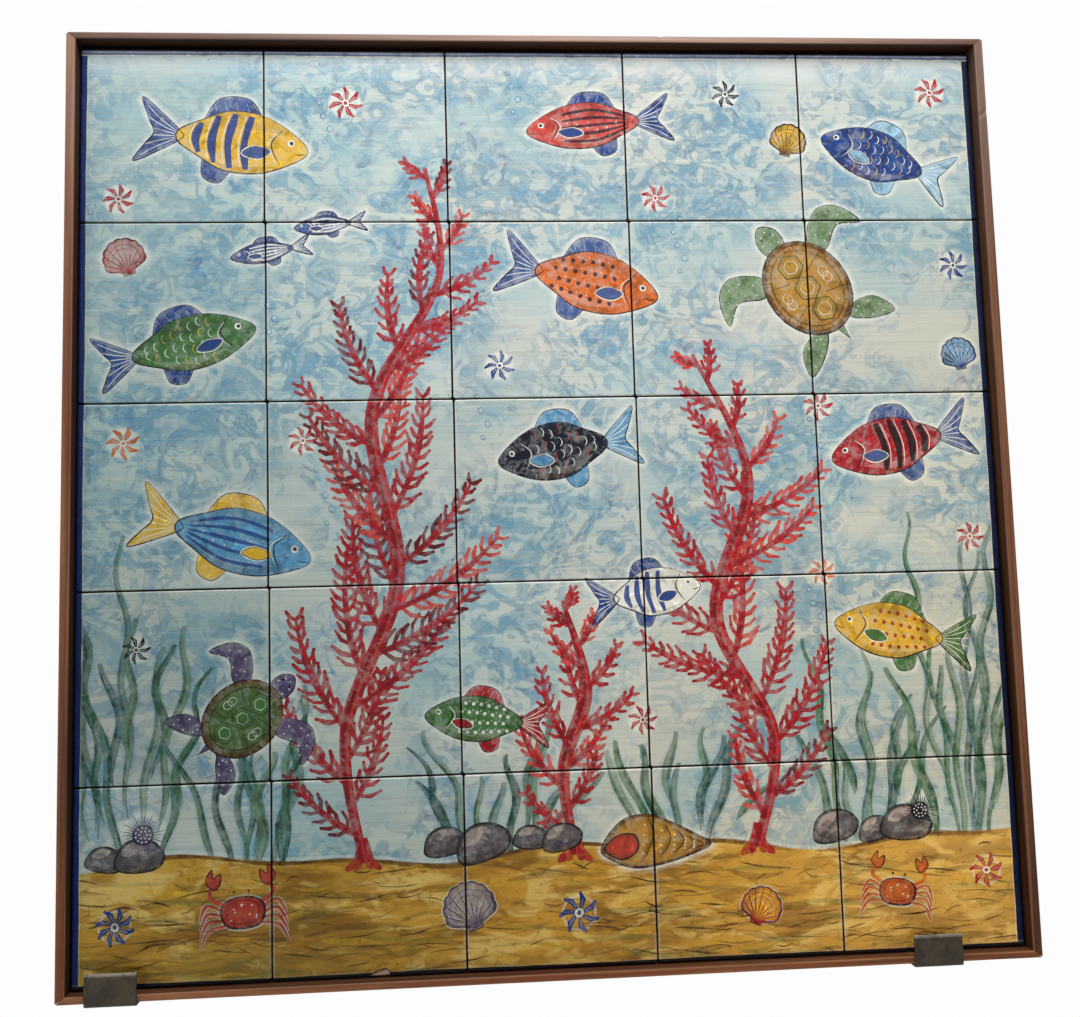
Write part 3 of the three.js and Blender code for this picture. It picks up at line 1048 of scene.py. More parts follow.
@dataclass(frozen=True)
class CobaltBorder:
    """The blue line along the outer edge of the field, painted freehand."""

    left: float
    right: float
    bottom: float
    top: float
    step: float = 12.0
    outside: float = 4.0
    pale_line: float = 1.3
    shadow: float = 3.0
    pale_covers: tuple[float, ...] = (0.12, 0.3, 0.9)

    def paint(self, canvas: Canvas) -> None:
        """Paints the four sides.

        Args:
            canvas: The canvas.
        """
        deep = Hue.DEEP_COBALT
        left, right, bottom, top = self.left, self.right, self.bottom, self.top
        # The one blue line takes a tone per side: pale lavender along the top as painted light, near black
        # along the bottom as painted shade.
        self._side(canvas, (left, bottom), (left, top), (1, 0), 6.9, Hue.BORDER, deep)
        self._side(canvas, (right, bottom), (right, top), (-1, 0), 7.2, Hue.DARK_BORDER, Hue.NIGHT)
        self._side(canvas, (left, top), (right, top), (0, -1), 7.2, Hue.LAVENDER, Hue.AIRY_BLUE)
        self._side(canvas, (left, bottom), (right, bottom), (0, 1), 3.6, Hue.BLACK_BLUE, Hue.INK)

    def _side(self, canvas: Canvas, start: Point, end: Point, inward: tuple[int, int], width: float,
              main: Hue, dark: Hue) -> None:
        """Paints one side.

        Args:
            canvas: The canvas.
            start: The side's first corner.
            end: Its other corner.
            inward: The direction into the field.
            width: The line's width.
            main: The pigment of the whole line.
            dark: The pigment pooled along its inner edge.
        """
        count = int(math.dist(start, end) / self.step)
        strokes = [canvas.next_stroke() for _ in range(4)]
        rows = []
        for i in range(count + 1):
            t = i / count
            x, z = start[0] + (end[0] - start[0]) * t, start[1] + (end[1] - start[1]) * t
            reach = width + 0.18 * math.sin(i * 1.3) + 0.35 * math.sin(i * 0.23 + 1)
            inner = reach - 2.1 - 0.4 * math.sin(i * 0.31 + 2)
            stops = (-self.outside, inner, reach, reach + self.pale_line, self.shadow)
            rows.append([(x + inward[0] * r, z + inward[1] * r) for r in stops])
        # The pale line inside is bare glaze, thickest along the top and faintest along the bottom as a
        # painted highlight from above.
        pale = self.pale_covers[1 - inward[1]]
        for a, b in zip(rows, rows[1:]):
            canvas.add([a[2], b[2], b[3], a[3]], Hue.WHITE.value, pale, stroke=strokes[0])
            canvas.add([a[0], b[0], b[2], a[2]], main.value, 1.0, stroke=strokes[1])
            canvas.add([a[1], b[1], b[2], a[2]], dark.value, 0.85, stroke=strokes[2])
            # Painted shadow of the top rail: a dark strip along the top edge of the field.
            if inward[1] < 0:
                canvas.add([a[0], b[0], b[4], a[4]], Hue.BLACK_BLUE.value, 1.0, stroke=strokes[3])


@dataclass(frozen=True)
class SeaGarden:
    """The whole painting: a generic sea garden of ferns, weed, fish and shells."""

    left: float
    right: float
    bottom: float
    top: float
    sand_top: float = SAND_TOP

    def paint(self) -> Canvas:
        """Paints every motif in order.

        Returns:
            The finished canvas.
        """
        canvas = Canvas()
        half = (self.right - self.left) / 2 + 6
        for motif in (
            WashDabs(half, self.sand_top, self.top, 150, 9),
            *self._weeds(),
            SandBand(half, self.sand_top, self.bottom - 6),
            *self._ferns(),
            *self._floor(),
            *self._fish(),
            *self._small(),
            CobaltBorder(self.left, self.right, self.bottom, self.top),
        ):
            motif.paint(canvas)
        return canvas

    def _weeds(self) -> list[WeedClump]:
        """Ribbon weed, thickest at the two lower corners.

        Returns:
            The motifs.
        """
        z = self.sand_top - 4
        return [WeedClump(x, z, spread, height, blades, seed) for x, spread, height, blades, seed in (
            (-445, 130, 390, 12, 3), (-320, 130, 250, 10, 4), (-60, 180, 160, 10, 5),
            (130, 160, 180, 9, 6), (340, 140, 270, 10, 8), (446, 120, 430, 12, 9))]

    def _ferns(self) -> list[SeaFern]:
        """Three red ferns of different heights.

        Returns:
            The motifs.
        """
        z = self.sand_top - 6
        return [
            SeaFern(((-205, z), (-222, -250), (-165, -90), (-190, 90), (-115, 240), (-128, 365)),
                    27, 118, 11),
            SeaFern(((215, z), (238, -270), (180, -140), (222, 10), (165, 150)), 27, 108, 12),
            SeaFern(((18, z), (8, -300), (34, -215), (12, -120)), 23, 74, 13),
        ]

    def _floor(self) -> list[Stones | Urchin | Crab | Scallop | Whelk]:
        """What lies on the sea floor.

        Returns:
            The motifs.
        """
        z = self.sand_top
        return [
            Stones(-120, z + 6, (46, 60, 38, 44), 5), Stones(300, z + 4, (52, 40, 58), 6),
            Stones(-470, z + 4, (40, 52), 7),
            Urchin(-432, z + 32, 24, Hue.VIOLET), Urchin(395, z + 26, 21, Hue.NIGHT),
            Whelk(105, z + 4, 118, -6, False),
            Crab(-330, z - 52, 96, 4, Hue.CORAL_RED), Crab(365, z - 60, 84, -8, Hue.ORANGE),
            Scallop(-95, z - 58, 58, 18, Hue.STONE_LIGHT, Hue.VIOLET),
            Scallop(215, z - 70, 46, -24, Hue.YELLOW, Hue.IRON_RED),
            Rosette(20, z - 66, 22, Hue.COBALT), Rosette(465, z - 40, 19, Hue.IRON_RED),
            Rosette(-460, z - 60, 20, Hue.COBALT, 8),
        ]

    def _fish(self) -> list[Fish | Turtle]:
        """The swimmers.

        Returns:
            The motifs.
        """
        bars, stripes, spots, scales = FishPattern
        return [
            Fish(-345, 395, 178, -8, True, bars, Hue.YELLOW, Hue.COBALT, Hue.SLATE_BLUE),
            Fish(65, 415, 158, 6, False, stripes, Hue.CORAL_RED, Hue.NIGHT, Hue.COBALT, 0.17),
            Fish(395, 375, 150, -20, False, scales, Hue.COBALT, Hue.YELLOW, Hue.PALE_SKY),
            Fish(-395, 165, 166, 14, True, scales, Hue.LEAF, Hue.YELLOW, Hue.COBALT, 0.18),
            Fish(45, 235, 172, -14, True, spots, Hue.ORANGE, Hue.NIGHT, Hue.SLATE_BLUE),
            Fish(395, 45, 158, 12, False, bars, Hue.IRON_RED, Hue.INK, Hue.SLATE_BLUE),
            Fish(-345, -45, 182, -16, True, stripes, Hue.SKY, Hue.COBALT, Hue.YELLOW, 0.19),
            Fish(20, 45, 150, 10, False, scales, Hue.NIGHT, Hue.CORAL_RED, Hue.SKY, 0.21),
            Fish(385, -165, 150, -10, False, spots, Hue.YELLOW, Hue.IRON_RED, Hue.LEAF, 0.2),
            Fish(105, -115, 118, 8, True, bars, Hue.WHITE, Hue.COBALT, Hue.COBALT, 0.22),
            Fish(-75, -245, 128, -6, False, spots, Hue.LEAF, Hue.WHITE, Hue.IRON_RED, 0.19),
            Fish(-300, 270, 84, 10, False, stripes, Hue.SLATE_BLUE, Hue.WHITE, Hue.SLATE_BLUE, 0.14),
            Fish(-235, 300, 76, 6, False, stripes, Hue.SLATE_BLUE, Hue.WHITE, Hue.SLATE_BLUE, 0.14),
            Turtle(300, 225, 176, 38, Hue.OCHRE, Hue.PALE_WEED),
            Turtle(-330, -235, 138, -52, Hue.LEAF, Hue.VIOLET),
        ]

    def _small(self) -> list[Rosette | Bubbles | Scallop]:
        """Small things between the swimmers.

        Returns:
            The motifs.
        """
        red, blue = Hue.IRON_RED, Hue.COBALT
        return [
            *(Rosette(*flower) for flower in (
                (-462, 330, 17, red), (-215, 440, 19, red), (215, 452, 16, Hue.NIGHT), (455, 455, 18, red),
                (-455, 60, 18, Hue.ORANGE), (470, 250, 17, blue), (130, 330, 16, red), (305, 90, 17, red),
                (-50, 140, 17, blue), (470, -60, 16, red), (-265, 60, 16, red), (300, -95, 15, Hue.ORANGE),
                (-440, -160, 15, Hue.NIGHT), (95, -250, 16, red))),
            Scallop(-455, 262, 48, 20, Hue.STONE_LIGHT, Hue.IRON_RED),
            Scallop(285, 395, 44, -16, Hue.YELLOW, Hue.UMBER),
            Scallop(470, 145, 42, 10, Hue.PALE_SKY, Hue.COBALT),
            *(Bubbles(*string) for string in (
                (-238, 395, 4), (-28, 430, 4), (155, 245, 5), (-300, 180, 4),
                (300, 30, 4), (-240, -30, 3), (-70, 60, 4), (290, -160, 4))),
        ]


class NodeSheet:
    """A node tree filled by short calls, for finishes, forms and the surround alike."""

    def __init__(self, tree: bpy.types.NodeTree) -> None:
        """Takes the tree to fill."""
        self.tree = tree

    def put(self, socket: Socket, value: object) -> None:
        """Links a socket to another, or sets its value.

        Args:
            socket: The socket that is fed.
            value: Another socket, or a number, vector, name or linear colour.
        """
        if isinstance(value, Socket):
            self.tree.links.new(value, socket)
        elif socket.type == "RGBA" and len(value) == 3:
            socket.default_value = (*value, 1.0)
        else:
            socket.default_value = value

    def node(self, kind: str, inputs: dict[str | int, object] | None = None,
             **settings: object) -> bpy.types.Node:
        """Adds a node.

        Args:
            kind: The node's type.
            inputs: Values or sockets for its inputs, by name or number.
            settings: The node's own settings.

        Returns:
            The node.
        """
        node = self.tree.nodes.new(kind)
        for name, value in settings.items():
            setattr(node, name, value)
        for key, value in (inputs or {}).items():
            self.put(node.inputs[key], value)
        return node

    def math(self, kind: str, a: object, b: object = 0.0, clamp: bool = False) -> Socket:
        """One sum on two values, held between 0 and 1 where clamped."""
        return self.node("ShaderNodeMath", {0: a, 1: b}, operation=kind, use_clamp=clamp).outputs[0]

    def plus(self, a: object, b: object) -> Socket:
        """Two values together."""
        return self.math("ADD", a, b)

    def less(self, a: object, b: object) -> Socket:
        """The first value less the second."""
        return self.math("SUBTRACT", a, b)

    def times(self, a: object, b: object) -> Socket:
        """One value times the other."""
        return self.math("MULTIPLY", a, b)

    def over(self, a: object, b: object) -> Socket:
        """The first value divided by the second."""
        return self.math("DIVIDE", a, b)

    def most(self, a: object, b: object = 0.0) -> Socket:
        """The larger of two values."""
        return self.math("MAXIMUM", a, b)

    def point(self, x: object = 0.0, y: object = 0.0, z: object = 0.0) -> Socket:
        """A vector of three values."""
        return self.node("ShaderNodeCombineXYZ", {0: x, 1: y, 2: z}).outputs[0]


class Graph(NodeSheet):
    """A material's node tree."""

    def __init__(self, name: str) -> None:
        """Starts a material with one surface shader.

        Args:
            name: The material's name.
        """
        self.material = bpy.data.materials.new(name)
        self.material.use_nodes = True
        super().__init__(self.material.node_tree)
        self.tree.nodes.clear()
        self.shader = self.node("ShaderNodeBsdfPrincipled")
        self.node("ShaderNodeOutputMaterial", {"Surface": self.shader.outputs["BSDF"]})
        self.place = self.node("ShaderNodeTexCoord").outputs["Object"]

    def set(self, **values: object) -> None:
        """Sets the shader's inputs, named with underscores for spaces."""
        for name, value in values.items():
            self.put(self.shader.inputs[name.replace("_", " ")], value)

    def stretched(self, x: float, y: float, z: float, turn: float = 0.0) -> Socket:
        """Object coordinates scaled along each axis and turned in the panel's plane."""
        scaled = {"Vector": self.place, "Scale": (x, y, z), "Rotation": (0.0, turn, 0.0)}
        return self.node("ShaderNodeMapping", scaled).outputs["Vector"]

    def noise(self, where: Socket, scale: float, detail: float = 2.0, rough: float = 0.5,
              warp: float = 0.0) -> Socket:
        """Cloudy noise between 0 and 1.

        Args:
            where: The coordinates.
            scale: Clouds to a metre.
            detail: Octaves.
            rough: Strength of the finer octaves.
            warp: How far the pattern is bent by itself.

        Returns:
            The pattern.
        """
        inputs = {"Vector": where, "Scale": scale, "Detail": detail, "Roughness": rough, "Distortion": warp}
        return self.node("ShaderNodeTexNoise", inputs).outputs["Fac"]

    def span(self, value: Socket, low: float, high: float, start: float = 0.0, end: float = 1.0) -> Socket:
        """Takes a value's range from low to high onto start to end, held at the ends."""
        inputs = {"Value": value, "From Min": low, "From Max": high, "To Min": start, "To Max": end}
        return self.node("ShaderNodeMapRange", inputs, interpolation_type="SMOOTHSTEP").outputs["Result"]

    def mix(self, share: object, a: object, b: object, kind: str = "MIX") -> Socket:
        """Mixes two colours by a share."""
        settings = {"data_type": "RGBA", "blend_type": kind, "clamp_factor": True}
        return self.node("ShaderNodeMix", {0: share, 6: a, 7: b}, **settings).outputs[2]

    def veil(self, base: object, colour: object, value: Socket, low: float, high: float,
             most: float = 1.0) -> Socket:
        """Lays a colour over another, thicker as a value rises from low to high."""
        return self.mix(self.span(value, low, high, 0.0, most), base, colour)

    def tint(self, base: Socket, colour: object, share: object) -> Socket:
        """Darkens or warms a colour by a share of another that multiplies it."""
        return self.mix(share, base, self.mix(1.0, base, colour, "MULTIPLY"))

    def attribute(self, name: str) -> bpy.types.Node:
        """The node that reads a mesh attribute."""
        return self.node("ShaderNodeAttribute", attribute_name=name)

    def mask(self, name: str) -> Socket:
        """A mesh attribute as one value."""
        return self.attribute(name).outputs["Fac"]

    def parts(self, colour: Socket) -> bpy.types.Node:
        """Splits a colour into its channels."""
        return self.node("ShaderNodeSeparateColor", {"Color": colour})

    def axis(self, name: str) -> Socket:
        """One of the object coordinates X, Y and Z."""
        return self.node("ShaderNodeSeparateXYZ", {"Vector": self.place}).outputs[name]

    def bump(self, height: Socket, distance: float, strength: float) -> None:
        """Bends the surface's normal by a height pattern, with distance in metres."""
        bent = self.node("ShaderNodeBump", {"Strength": strength, "Distance": distance, "Height": height})
        self.put(self.shader.inputs["Normal"], bent.outputs["Normal"])


@dataclass(frozen=True)
class GlazeFinish:
    """Tin glaze with a washed ground and the painting under a clear gloss."""

    cream: Colour = tone(212, 216, 208)
    aqua: Colour = tone(170, 202, 210)
    blue: Colour = tone(92, 154, 188)
    pooled: Colour = tone(64, 120, 160)
    grey: Colour = tone(172, 176, 170)
    bare: Colour = tone(240, 241, 235)
    sand: Colour = tone(218, 164, 62)
    sand_dark: Colour = tone(158, 108, 38)
    sand_light: Colour = tone(246, 206, 120)
    sand_green: Colour = tone(120, 116, 52)
    # Painted shade and light over the whole face: shade towards the lower left, warmth towards the lower
    # right, light along the top.
    shade: Colour = tone(186, 196, 196)
    warm: Colour = tone(250, 240, 220)
    painted_top_light: Colour = tone(200, 216, 230)
    pool: Colour = (0.012, 0.012, 0.016)
    thinned: Colour = (1.7, 1.7, 1.7)
    hard_fired: Colour = (0.86, 0.86, 0.85)
    speck: Colour = tone(70, 62, 52)

    def _water(self, g: Graph) -> Socket:
        """Mixes the washed ground above the sand.

        Args:
            g: The glaze's nodes.

        Returns:
            The colour.
        """
        broad = g.noise(g.stretched(1, 1, 1.6), 5.5, 3, 0.55)
        ground = g.mix(g.span(broad, 0.38, 0.64, 0.0, 0.8), self.cream, self.aqua)
        upper = g.span(g.axis("Z"), -0.25, 0.15)
        ground = g.mix(g.times(g.span(g.axis("X"), 0.1, -0.42, 0.0, 0.6), upper), ground, self.aqua)
        where = g.noise(g.stretched(1, 1, 1.15), 6, 2, 0.5, 0.4)
        near = g.span(where, 0.32, 0.58)
        for scale, warp, low, share in ((14, 2.0, 0.5, 0.5), (28, 2.4, 0.51, 0.6)):
            smear = g.noise(g.stretched(1, 1, 1.2), scale, 2, 0.5, warp)
            ground = g.mix(g.times(g.times(g.span(smear, low, low + 0.13), near), share), ground, self.blue)
            off = g.math("ABSOLUTE", g.less(smear, low + 0.035))
            rim = g.times(g.span(off, 0.042, 0.0), near)
            ground = g.mix(g.times(rim, 0.46), ground, self.pooled)
            ground = g.mix(g.times(g.times(g.span(smear, 0.45, 0.34), near), 0.5), ground, self.cream)
        streak = g.noise(g.stretched(9, 1, 430), 1.0, 2, 0.6)
        ground = g.veil(ground, self.grey, streak, 0.5, 0.74, 0.5)
        return g.veil(ground, self.bare, streak, 0.46, 0.24, 0.26)

    def _sand(self, g: Graph) -> Socket:
        """Mixes the washed sand.

        Args:
            g: The glaze's nodes.

        Returns:
            The colour.
        """
        broad = g.noise(g.stretched(1, 1, 3.2), 9, 3, 0.6, 0.7)
        ground = g.veil(self.sand, self.sand_dark, broad, 0.4, 0.66)
        pale = g.noise(g.stretched(1, 1, 2.6, 0.1), 15, 3, 0.6, 0.9)
        ground = g.veil(ground, self.sand_light, pale, 0.5, 0.64, 0.85)
        mossy = g.noise(g.stretched(1, 1, 1.8), 6, 3, 0.6, 0.5)
        across = g.axis("X")
        left = g.span(across, 0.05, -0.5, 0.15, 1.0)
        ground = g.veil(ground, self.sand_light, across, 0.0, 0.5, 0.35)
        ground = g.mix(g.times(g.span(mossy, 0.46, 0.64, 0.0, 0.5), left), ground, self.sand_green)
        mottle = g.noise(g.stretched(1, 1, 1.9, 0.25), 58, 3, 0.65, 1.2)
        ground = g.veil(ground, self.sand_dark, mottle, 0.54, 0.68, 0.6)
        streak = g.noise(g.stretched(16, 1, 300), 1.0, 3, 0.6)
        return g.veil(ground, self.sand_dark, streak, 0.54, 0.8, 0.5)

    def material(self) -> Material:
        """Makes the glaze.

        Returns:
            The material.
        """
        g = Graph("painted_glaze")
        ground = g.attribute(GROUND_ATTRIBUTE)
        masks = g.parts(ground.outputs["Color"])
        base = g.mix(masks.outputs["Red"], self._water(g), self._sand(g))
        wipe = g.noise(g.place, 120, 2, 0.6)
        wiped = g.times(masks.outputs["Green"], g.span(wipe, 0.25, 0.6, 0.35, 0.9))
        base = g.mix(wiped, base, self.bare)
        # Painted light: the top strip of the field is screened paler, painted over where the top rail's
        # shadow falls.
        painted_light_near_top = g.span(g.axis("Z"), 0.455, 0.497, 0.0, 0.85)
        base = g.mix(painted_light_near_top, base, g.mix(0.7, base, self.painted_top_light, "SCREEN"))
        paint = g.attribute(PAINT_ATTRIBUTE)
        watery = g.noise(g.place, 130, 2, 0.6, 0.8)
        pools = g.noise(g.place, 62, 2, 0.6, 0.6)
        thin = g.times(g.span(watery, 0.3, 0.64, 0.82, 1.1), g.span(pools, 0.3, 0.7, 0.84, 1.12))
        solid = g.span(paint.outputs["Alpha"], 0.994, 1.0)
        cover = g.most(g.math("MULTIPLY", paint.outputs["Alpha"], thin, True), solid)
        shaded = g.mix(g.span(pools, 0.5, 0.72, 0.0, 0.42), paint.outputs["Color"], self.pool)
        paler = g.mix(1.0, shaded, self.thinned, "MULTIPLY")
        bright = g.mix(g.span(watery, 0.54, 0.74, 0.0, 0.8), shaded, paler)
        base = g.mix(cover, base, bright)
        # Pale rim at the tile edges: thin glaze with a painted highlight.
        rim = g.times(masks.outputs["Blue"], g.span(wipe, 0.3, 0.55, 0.35, 1.0))
        rim = g.times(rim, g.less(1.0, cover))
        base = g.mix(rim, base, self.bare)
        fired = g.mix(ground.outputs["Alpha"], self.hard_fired, (1.0, 1.0, 1.0))
        base = g.mix(1.0, base, fired, "MULTIPLY")
        # Painted shade and light: the whole face is darkened towards the lower left and warmed towards the
        # lower right, as light falls on the panel.
        across, up = g.axis("X"), g.axis("Z")
        left = g.less(g.times(across, -1.0), g.times(up, 0.6))
        base = g.tint(base, self.shade, g.span(left, -0.25, 0.62))
        right = g.less(across, up)
        base = g.tint(base, self.warm, g.span(right, -0.1, 0.8, 0.0, 0.8))
        speck = g.noise(g.place, 520, 0, 0.4)
        base = g.veil(base, self.speck, speck, 0.84, 0.89, 0.7)
        peel = g.noise(g.place, 75, 1, 0.5)
        ripple = g.noise(g.stretched(14, 1, 260), 1.0, 1, 0.5)
        g.bump(g.plus(peel, g.times(ripple, 0.35)), 0.0007, 0.35)
        g.set(Base_Color=base, Roughness=g.span(peel, 0.3, 0.7, 0.15, 0.27), Specular_IOR_Level=0.5)
        return g.material


@dataclass(frozen=True)
class ClayFinish:
    """Fired clay on the sides and back of a tile, with runs of glaze near the face."""

    body: Colour = tone(176, 128, 98)
    pale: Colour = tone(206, 176, 148)
    grime: Colour = tone(38, 33, 31)
    dusty: Colour = tone(168, 152, 142)
    grit: Colour = tone(120, 84, 62)

    def material(self) -> Material:
        """Makes the clay.

        Returns:
            The material.
        """
        g = Graph("tile_body")
        grain = g.noise(g.place, 260, 4, 0.6)
        cloud = g.noise(g.place, 30, 3, 0.5)
        base = g.veil(self.body, self.pale, cloud, 0.35, 0.65)
        base = g.veil(base, self.grit, grain, 0.55, 0.75, 0.4)
        chip = g.span(g.attribute(GROUND_ATTRIBUTE).outputs["Alpha"], 0.0, 0.1)
        base = g.mix(g.times(chip, 0.6), base, self.dusty)
        # Grime and painted shade: the tile sides darken further back, deep in the joints.
        joint = g.less(1.0, chip)
        shade_band = g.times(joint, g.span(g.axis("Y"), -0.0126, -0.0145))
        base = g.mix(shade_band, base, self.grime)
        g.bump(grain, 0.0004, 0.5)
        g.set(Base_Color=base, Roughness=0.85)
        return g.material


@dataclass(frozen=True)
class WalnutFinish:
    """Oiled dark wood with straight grain along one axis of the panel."""

    name: str
    upright: bool
    dark: Colour = tone(46, 27, 17)
    middle: Colour = tone(100, 62, 40)
    light: Colour = tone(142, 94, 60)
    red: Colour = tone(112, 50, 28)
    pore: Colour = tone(30, 17, 11)
    worn: Colour = tone(158, 118, 88)
    film: Colour = tone(194, 172, 162)
    grime: Colour = tone(30, 12, 5)
    deep: Colour = (0.62, 0.5, 0.38)
    painted_light_to_right: Colour = (1.5, 1.4, 1.2)
    painted_shade_at_ends: Colour = (0.44, 0.4, 0.42)

    def _along(self, g: Graph, across: float, along: float) -> Socket:
        """Coordinates with cells to a metre across and along the grain."""
        return g.stretched(across, across, along) if self.upright else g.stretched(along, across, across)

    def material(self) -> Material:
        """Makes the wood.

        Returns:
            The material.
        """
        g = Graph(self.name)
        figure = g.noise(self._along(g, 95, 2.6), 1.0, 4, 0.55, 0.4)
        lines = g.noise(self._along(g, 620, 5.5), 1.0, 3, 0.65, 0.2)
        pores = g.noise(self._along(g, 1900, 75), 1.0, 2, 0.5)
        patches = g.noise(self._along(g, 14, 4.0), 1.0, 3, 0.5)
        base = g.veil(self.middle, self.light, figure, 0.34, 0.66)
        base = g.veil(base, self.dark, lines, 0.5, 0.72, 0.72)
        streaks = g.noise(self._along(g, 260, 3.4), 1.0, 2, 0.55, 0.3)
        base = g.veil(base, self.dark, streaks, 0.5, 0.64, 0.55)
        base = g.veil(base, self.red, patches, 0.42, 0.68, 0.5)
        base = g.veil(base, self.pore, pores, 0.6, 0.74, 0.7)
        if self.upright:
            # Painted shade and light: the stiles darken towards the bottom and take a pale painted sheen
            # near the top.
            height = g.axis("Z")
            base = g.tint(base, self.deep, g.span(height, 0.1, -0.42, 0.0, 0.95))
            base = g.veil(base, self.film, height, 0.15, 0.5, 0.2)
        else:
            # Painted light: the rails grow lighter towards the right.
            across = g.axis("X")
            base = g.tint(base, self.painted_light_to_right, g.span(across, -0.2, 0.45))
        wear = g.times(g.mask("wear"), g.span(patches, 0.35, 0.6, 0.35, 1.0))
        base = g.mix(g.times(wear, 0.8), base, self.worn)
        # Dust and a painted sheen on the front faces, most on the top rail.
        film = g.times(g.mask("film"), g.span(lines, 0.3, 0.62, 1.1, 0.7))
        base = g.mix(film, base, self.film)
        if not self.upright:
            # Painted shade: the top rail's face is darkened towards its ends.
            middle = g.math("ABSOLUTE", g.less(g.axis("X"), 0.08))
            ends = g.times(g.span(middle, 0.0, 0.5, 0.1, 1.0), g.span(g.axis("Z"), 0.0, 0.1))
            base = g.mix(ends, base, g.mix(1.0, base, self.painted_shade_at_ends, "MULTIPLY"))
        # Grime and painted shade darken the inner walls of the recess.
        base = g.mix(g.mask("recess"), base, self.grime)
        g.bump(g.plus(g.times(lines, 0.5), pores), 0.0003, 0.5)
        g.set(Base_Color=base, Roughness=g.span(figure, 0.3, 0.7, 0.46, 0.62), Specular_IOR_Level=0.3)
        return g.material


@dataclass(frozen=True)
class PlywoodFinish:
    """Plain plywood with a broad face grain and a dusty, dark stained front."""

    base: Colour = tone(168, 128, 86)
    line: Colour = tone(122, 84, 50)
    stain: Colour = tone(30, 24, 20)
    knot: Colour = tone(92, 56, 34)

    def material(self) -> Material:
        """Makes the plywood.

        Returns:
            The material.
        """
        g = Graph("plywood_board")
        arches = g.noise(g.stretched(8, 8, 1.0), 2.2, 5, 0.55, 2.2)
        bands = g.math("FRACT", g.times(arches, 13.0))
        grain = g.noise(g.stretched(900, 900, 12), 1.0, 3, 0.6)
        base = g.mix(g.span(bands, 0.1, 0.9, 0.0, 0.55), self.base, self.line)
        base = g.veil(base, self.line, grain, 0.55, 0.75, 0.5)
        knots = g.noise(g.stretched(1, 1, 0.5), 11, 2, 0.4)
        base = g.veil(base, self.knot, knots, 0.7, 0.76, 0.7)
        base = g.veil(base, self.stain, g.axis("Y"), -0.009, -0.0115)
        g.bump(grain, 0.0003, 0.4)
        g.set(Base_Color=base, Roughness=0.8)
        return g.material


@dataclass(frozen=True)
class SteelFinish:
    """Blackened steel, scuffed, with a pale band along the lip's top edge that is partly wear and partly
    painted highlight.
    """

    lip_top: float
    dark: Colour = tone(52, 47, 38)
    warm: Colour = tone(74, 65, 51)
    bright: Colour = tone(158, 150, 140)
    pit: Colour = tone(34, 31, 28)

    def material(self) -> Material:
        """Makes the steel.

        Returns:
            The material.
        """
        g = Graph("dark_steel")
        cloud = g.noise(g.place, 70, 5, 0.65, 0.6)
        fine = g.noise(g.place, 700, 3, 0.6)
        scratch = g.noise(g.stretched(240, 240, 2200, 0.5), 1.0, 2, 0.5)
        rub = g.noise(g.stretched(900, 900, 130, -0.25), 1.0, 2, 0.5)
        base = g.veil(self.dark, self.warm, cloud, 0.36, 0.64)
        base = g.veil(base, self.pit, fine, 0.62, 0.8, 0.4)
        base = g.veil(base, self.bright, scratch, 0.68, 0.76, 0.4)
        base = g.veil(base, self.bright, rub, 0.7, 0.78, 0.3)
        # The lip's top edge: wear with a painted highlight where it catches the light.
        wear = g.span(g.axis("Z"), self.lip_top - 0.0038, self.lip_top - 0.0002)
        wear = g.times(wear, g.span(cloud, 0.3, 0.55, 0.25, 0.9))
        base = g.mix(wear, base, self.bright)
        g.bump(g.plus(cloud, g.times(fine, 0.3)), 0.0005, 0.5)
        g.set(Base_Color=base, Metallic=0.35, Roughness=g.span(cloud, 0.3, 0.7, 0.42, 0.66))
        return g.material


@dataclass(frozen=True)
class StageFinish:
    """Plain pale studio surface with a faint mottle."""

    shade: Colour = tone(236, 236, 234)
    light: Colour = tone(242, 242, 240)

    def material(self) -> Material:
        """Makes the surface.

        Returns:
            The material.
        """
        g = Graph("studio_floor")
        mottle = g.noise(g.place, 3, 2, 0.5)
        g.set(Base_Color=g.mix(mottle, self.shade, self.light), Roughness=0.9)
        return g.material


class PiecePlace:
    """Puts finished meshes into the scene and ties them to the frame."""

    @staticmethod
    def show(mesh: bpy.types.Mesh, name: str, slot: str, *nodes: str) -> bpy.types.Object:
        """Makes an object of a mesh that stands for some frame nodes.

        Args:
            mesh: The finished mesh, in the frame's metres.
            name: The piece's name.
            slot: The record's material slot; not used.
            nodes: The nodes that it replaces.

        Returns:
            The object.
        """
        piece = bpy.data.objects.new(name, mesh)
        bpy.context.scene.collection.objects.link(piece)
        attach(piece, "root")
        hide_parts(*nodes)
        LOG.info("%s: %d faces", name, len(mesh.polygons))
        return piece


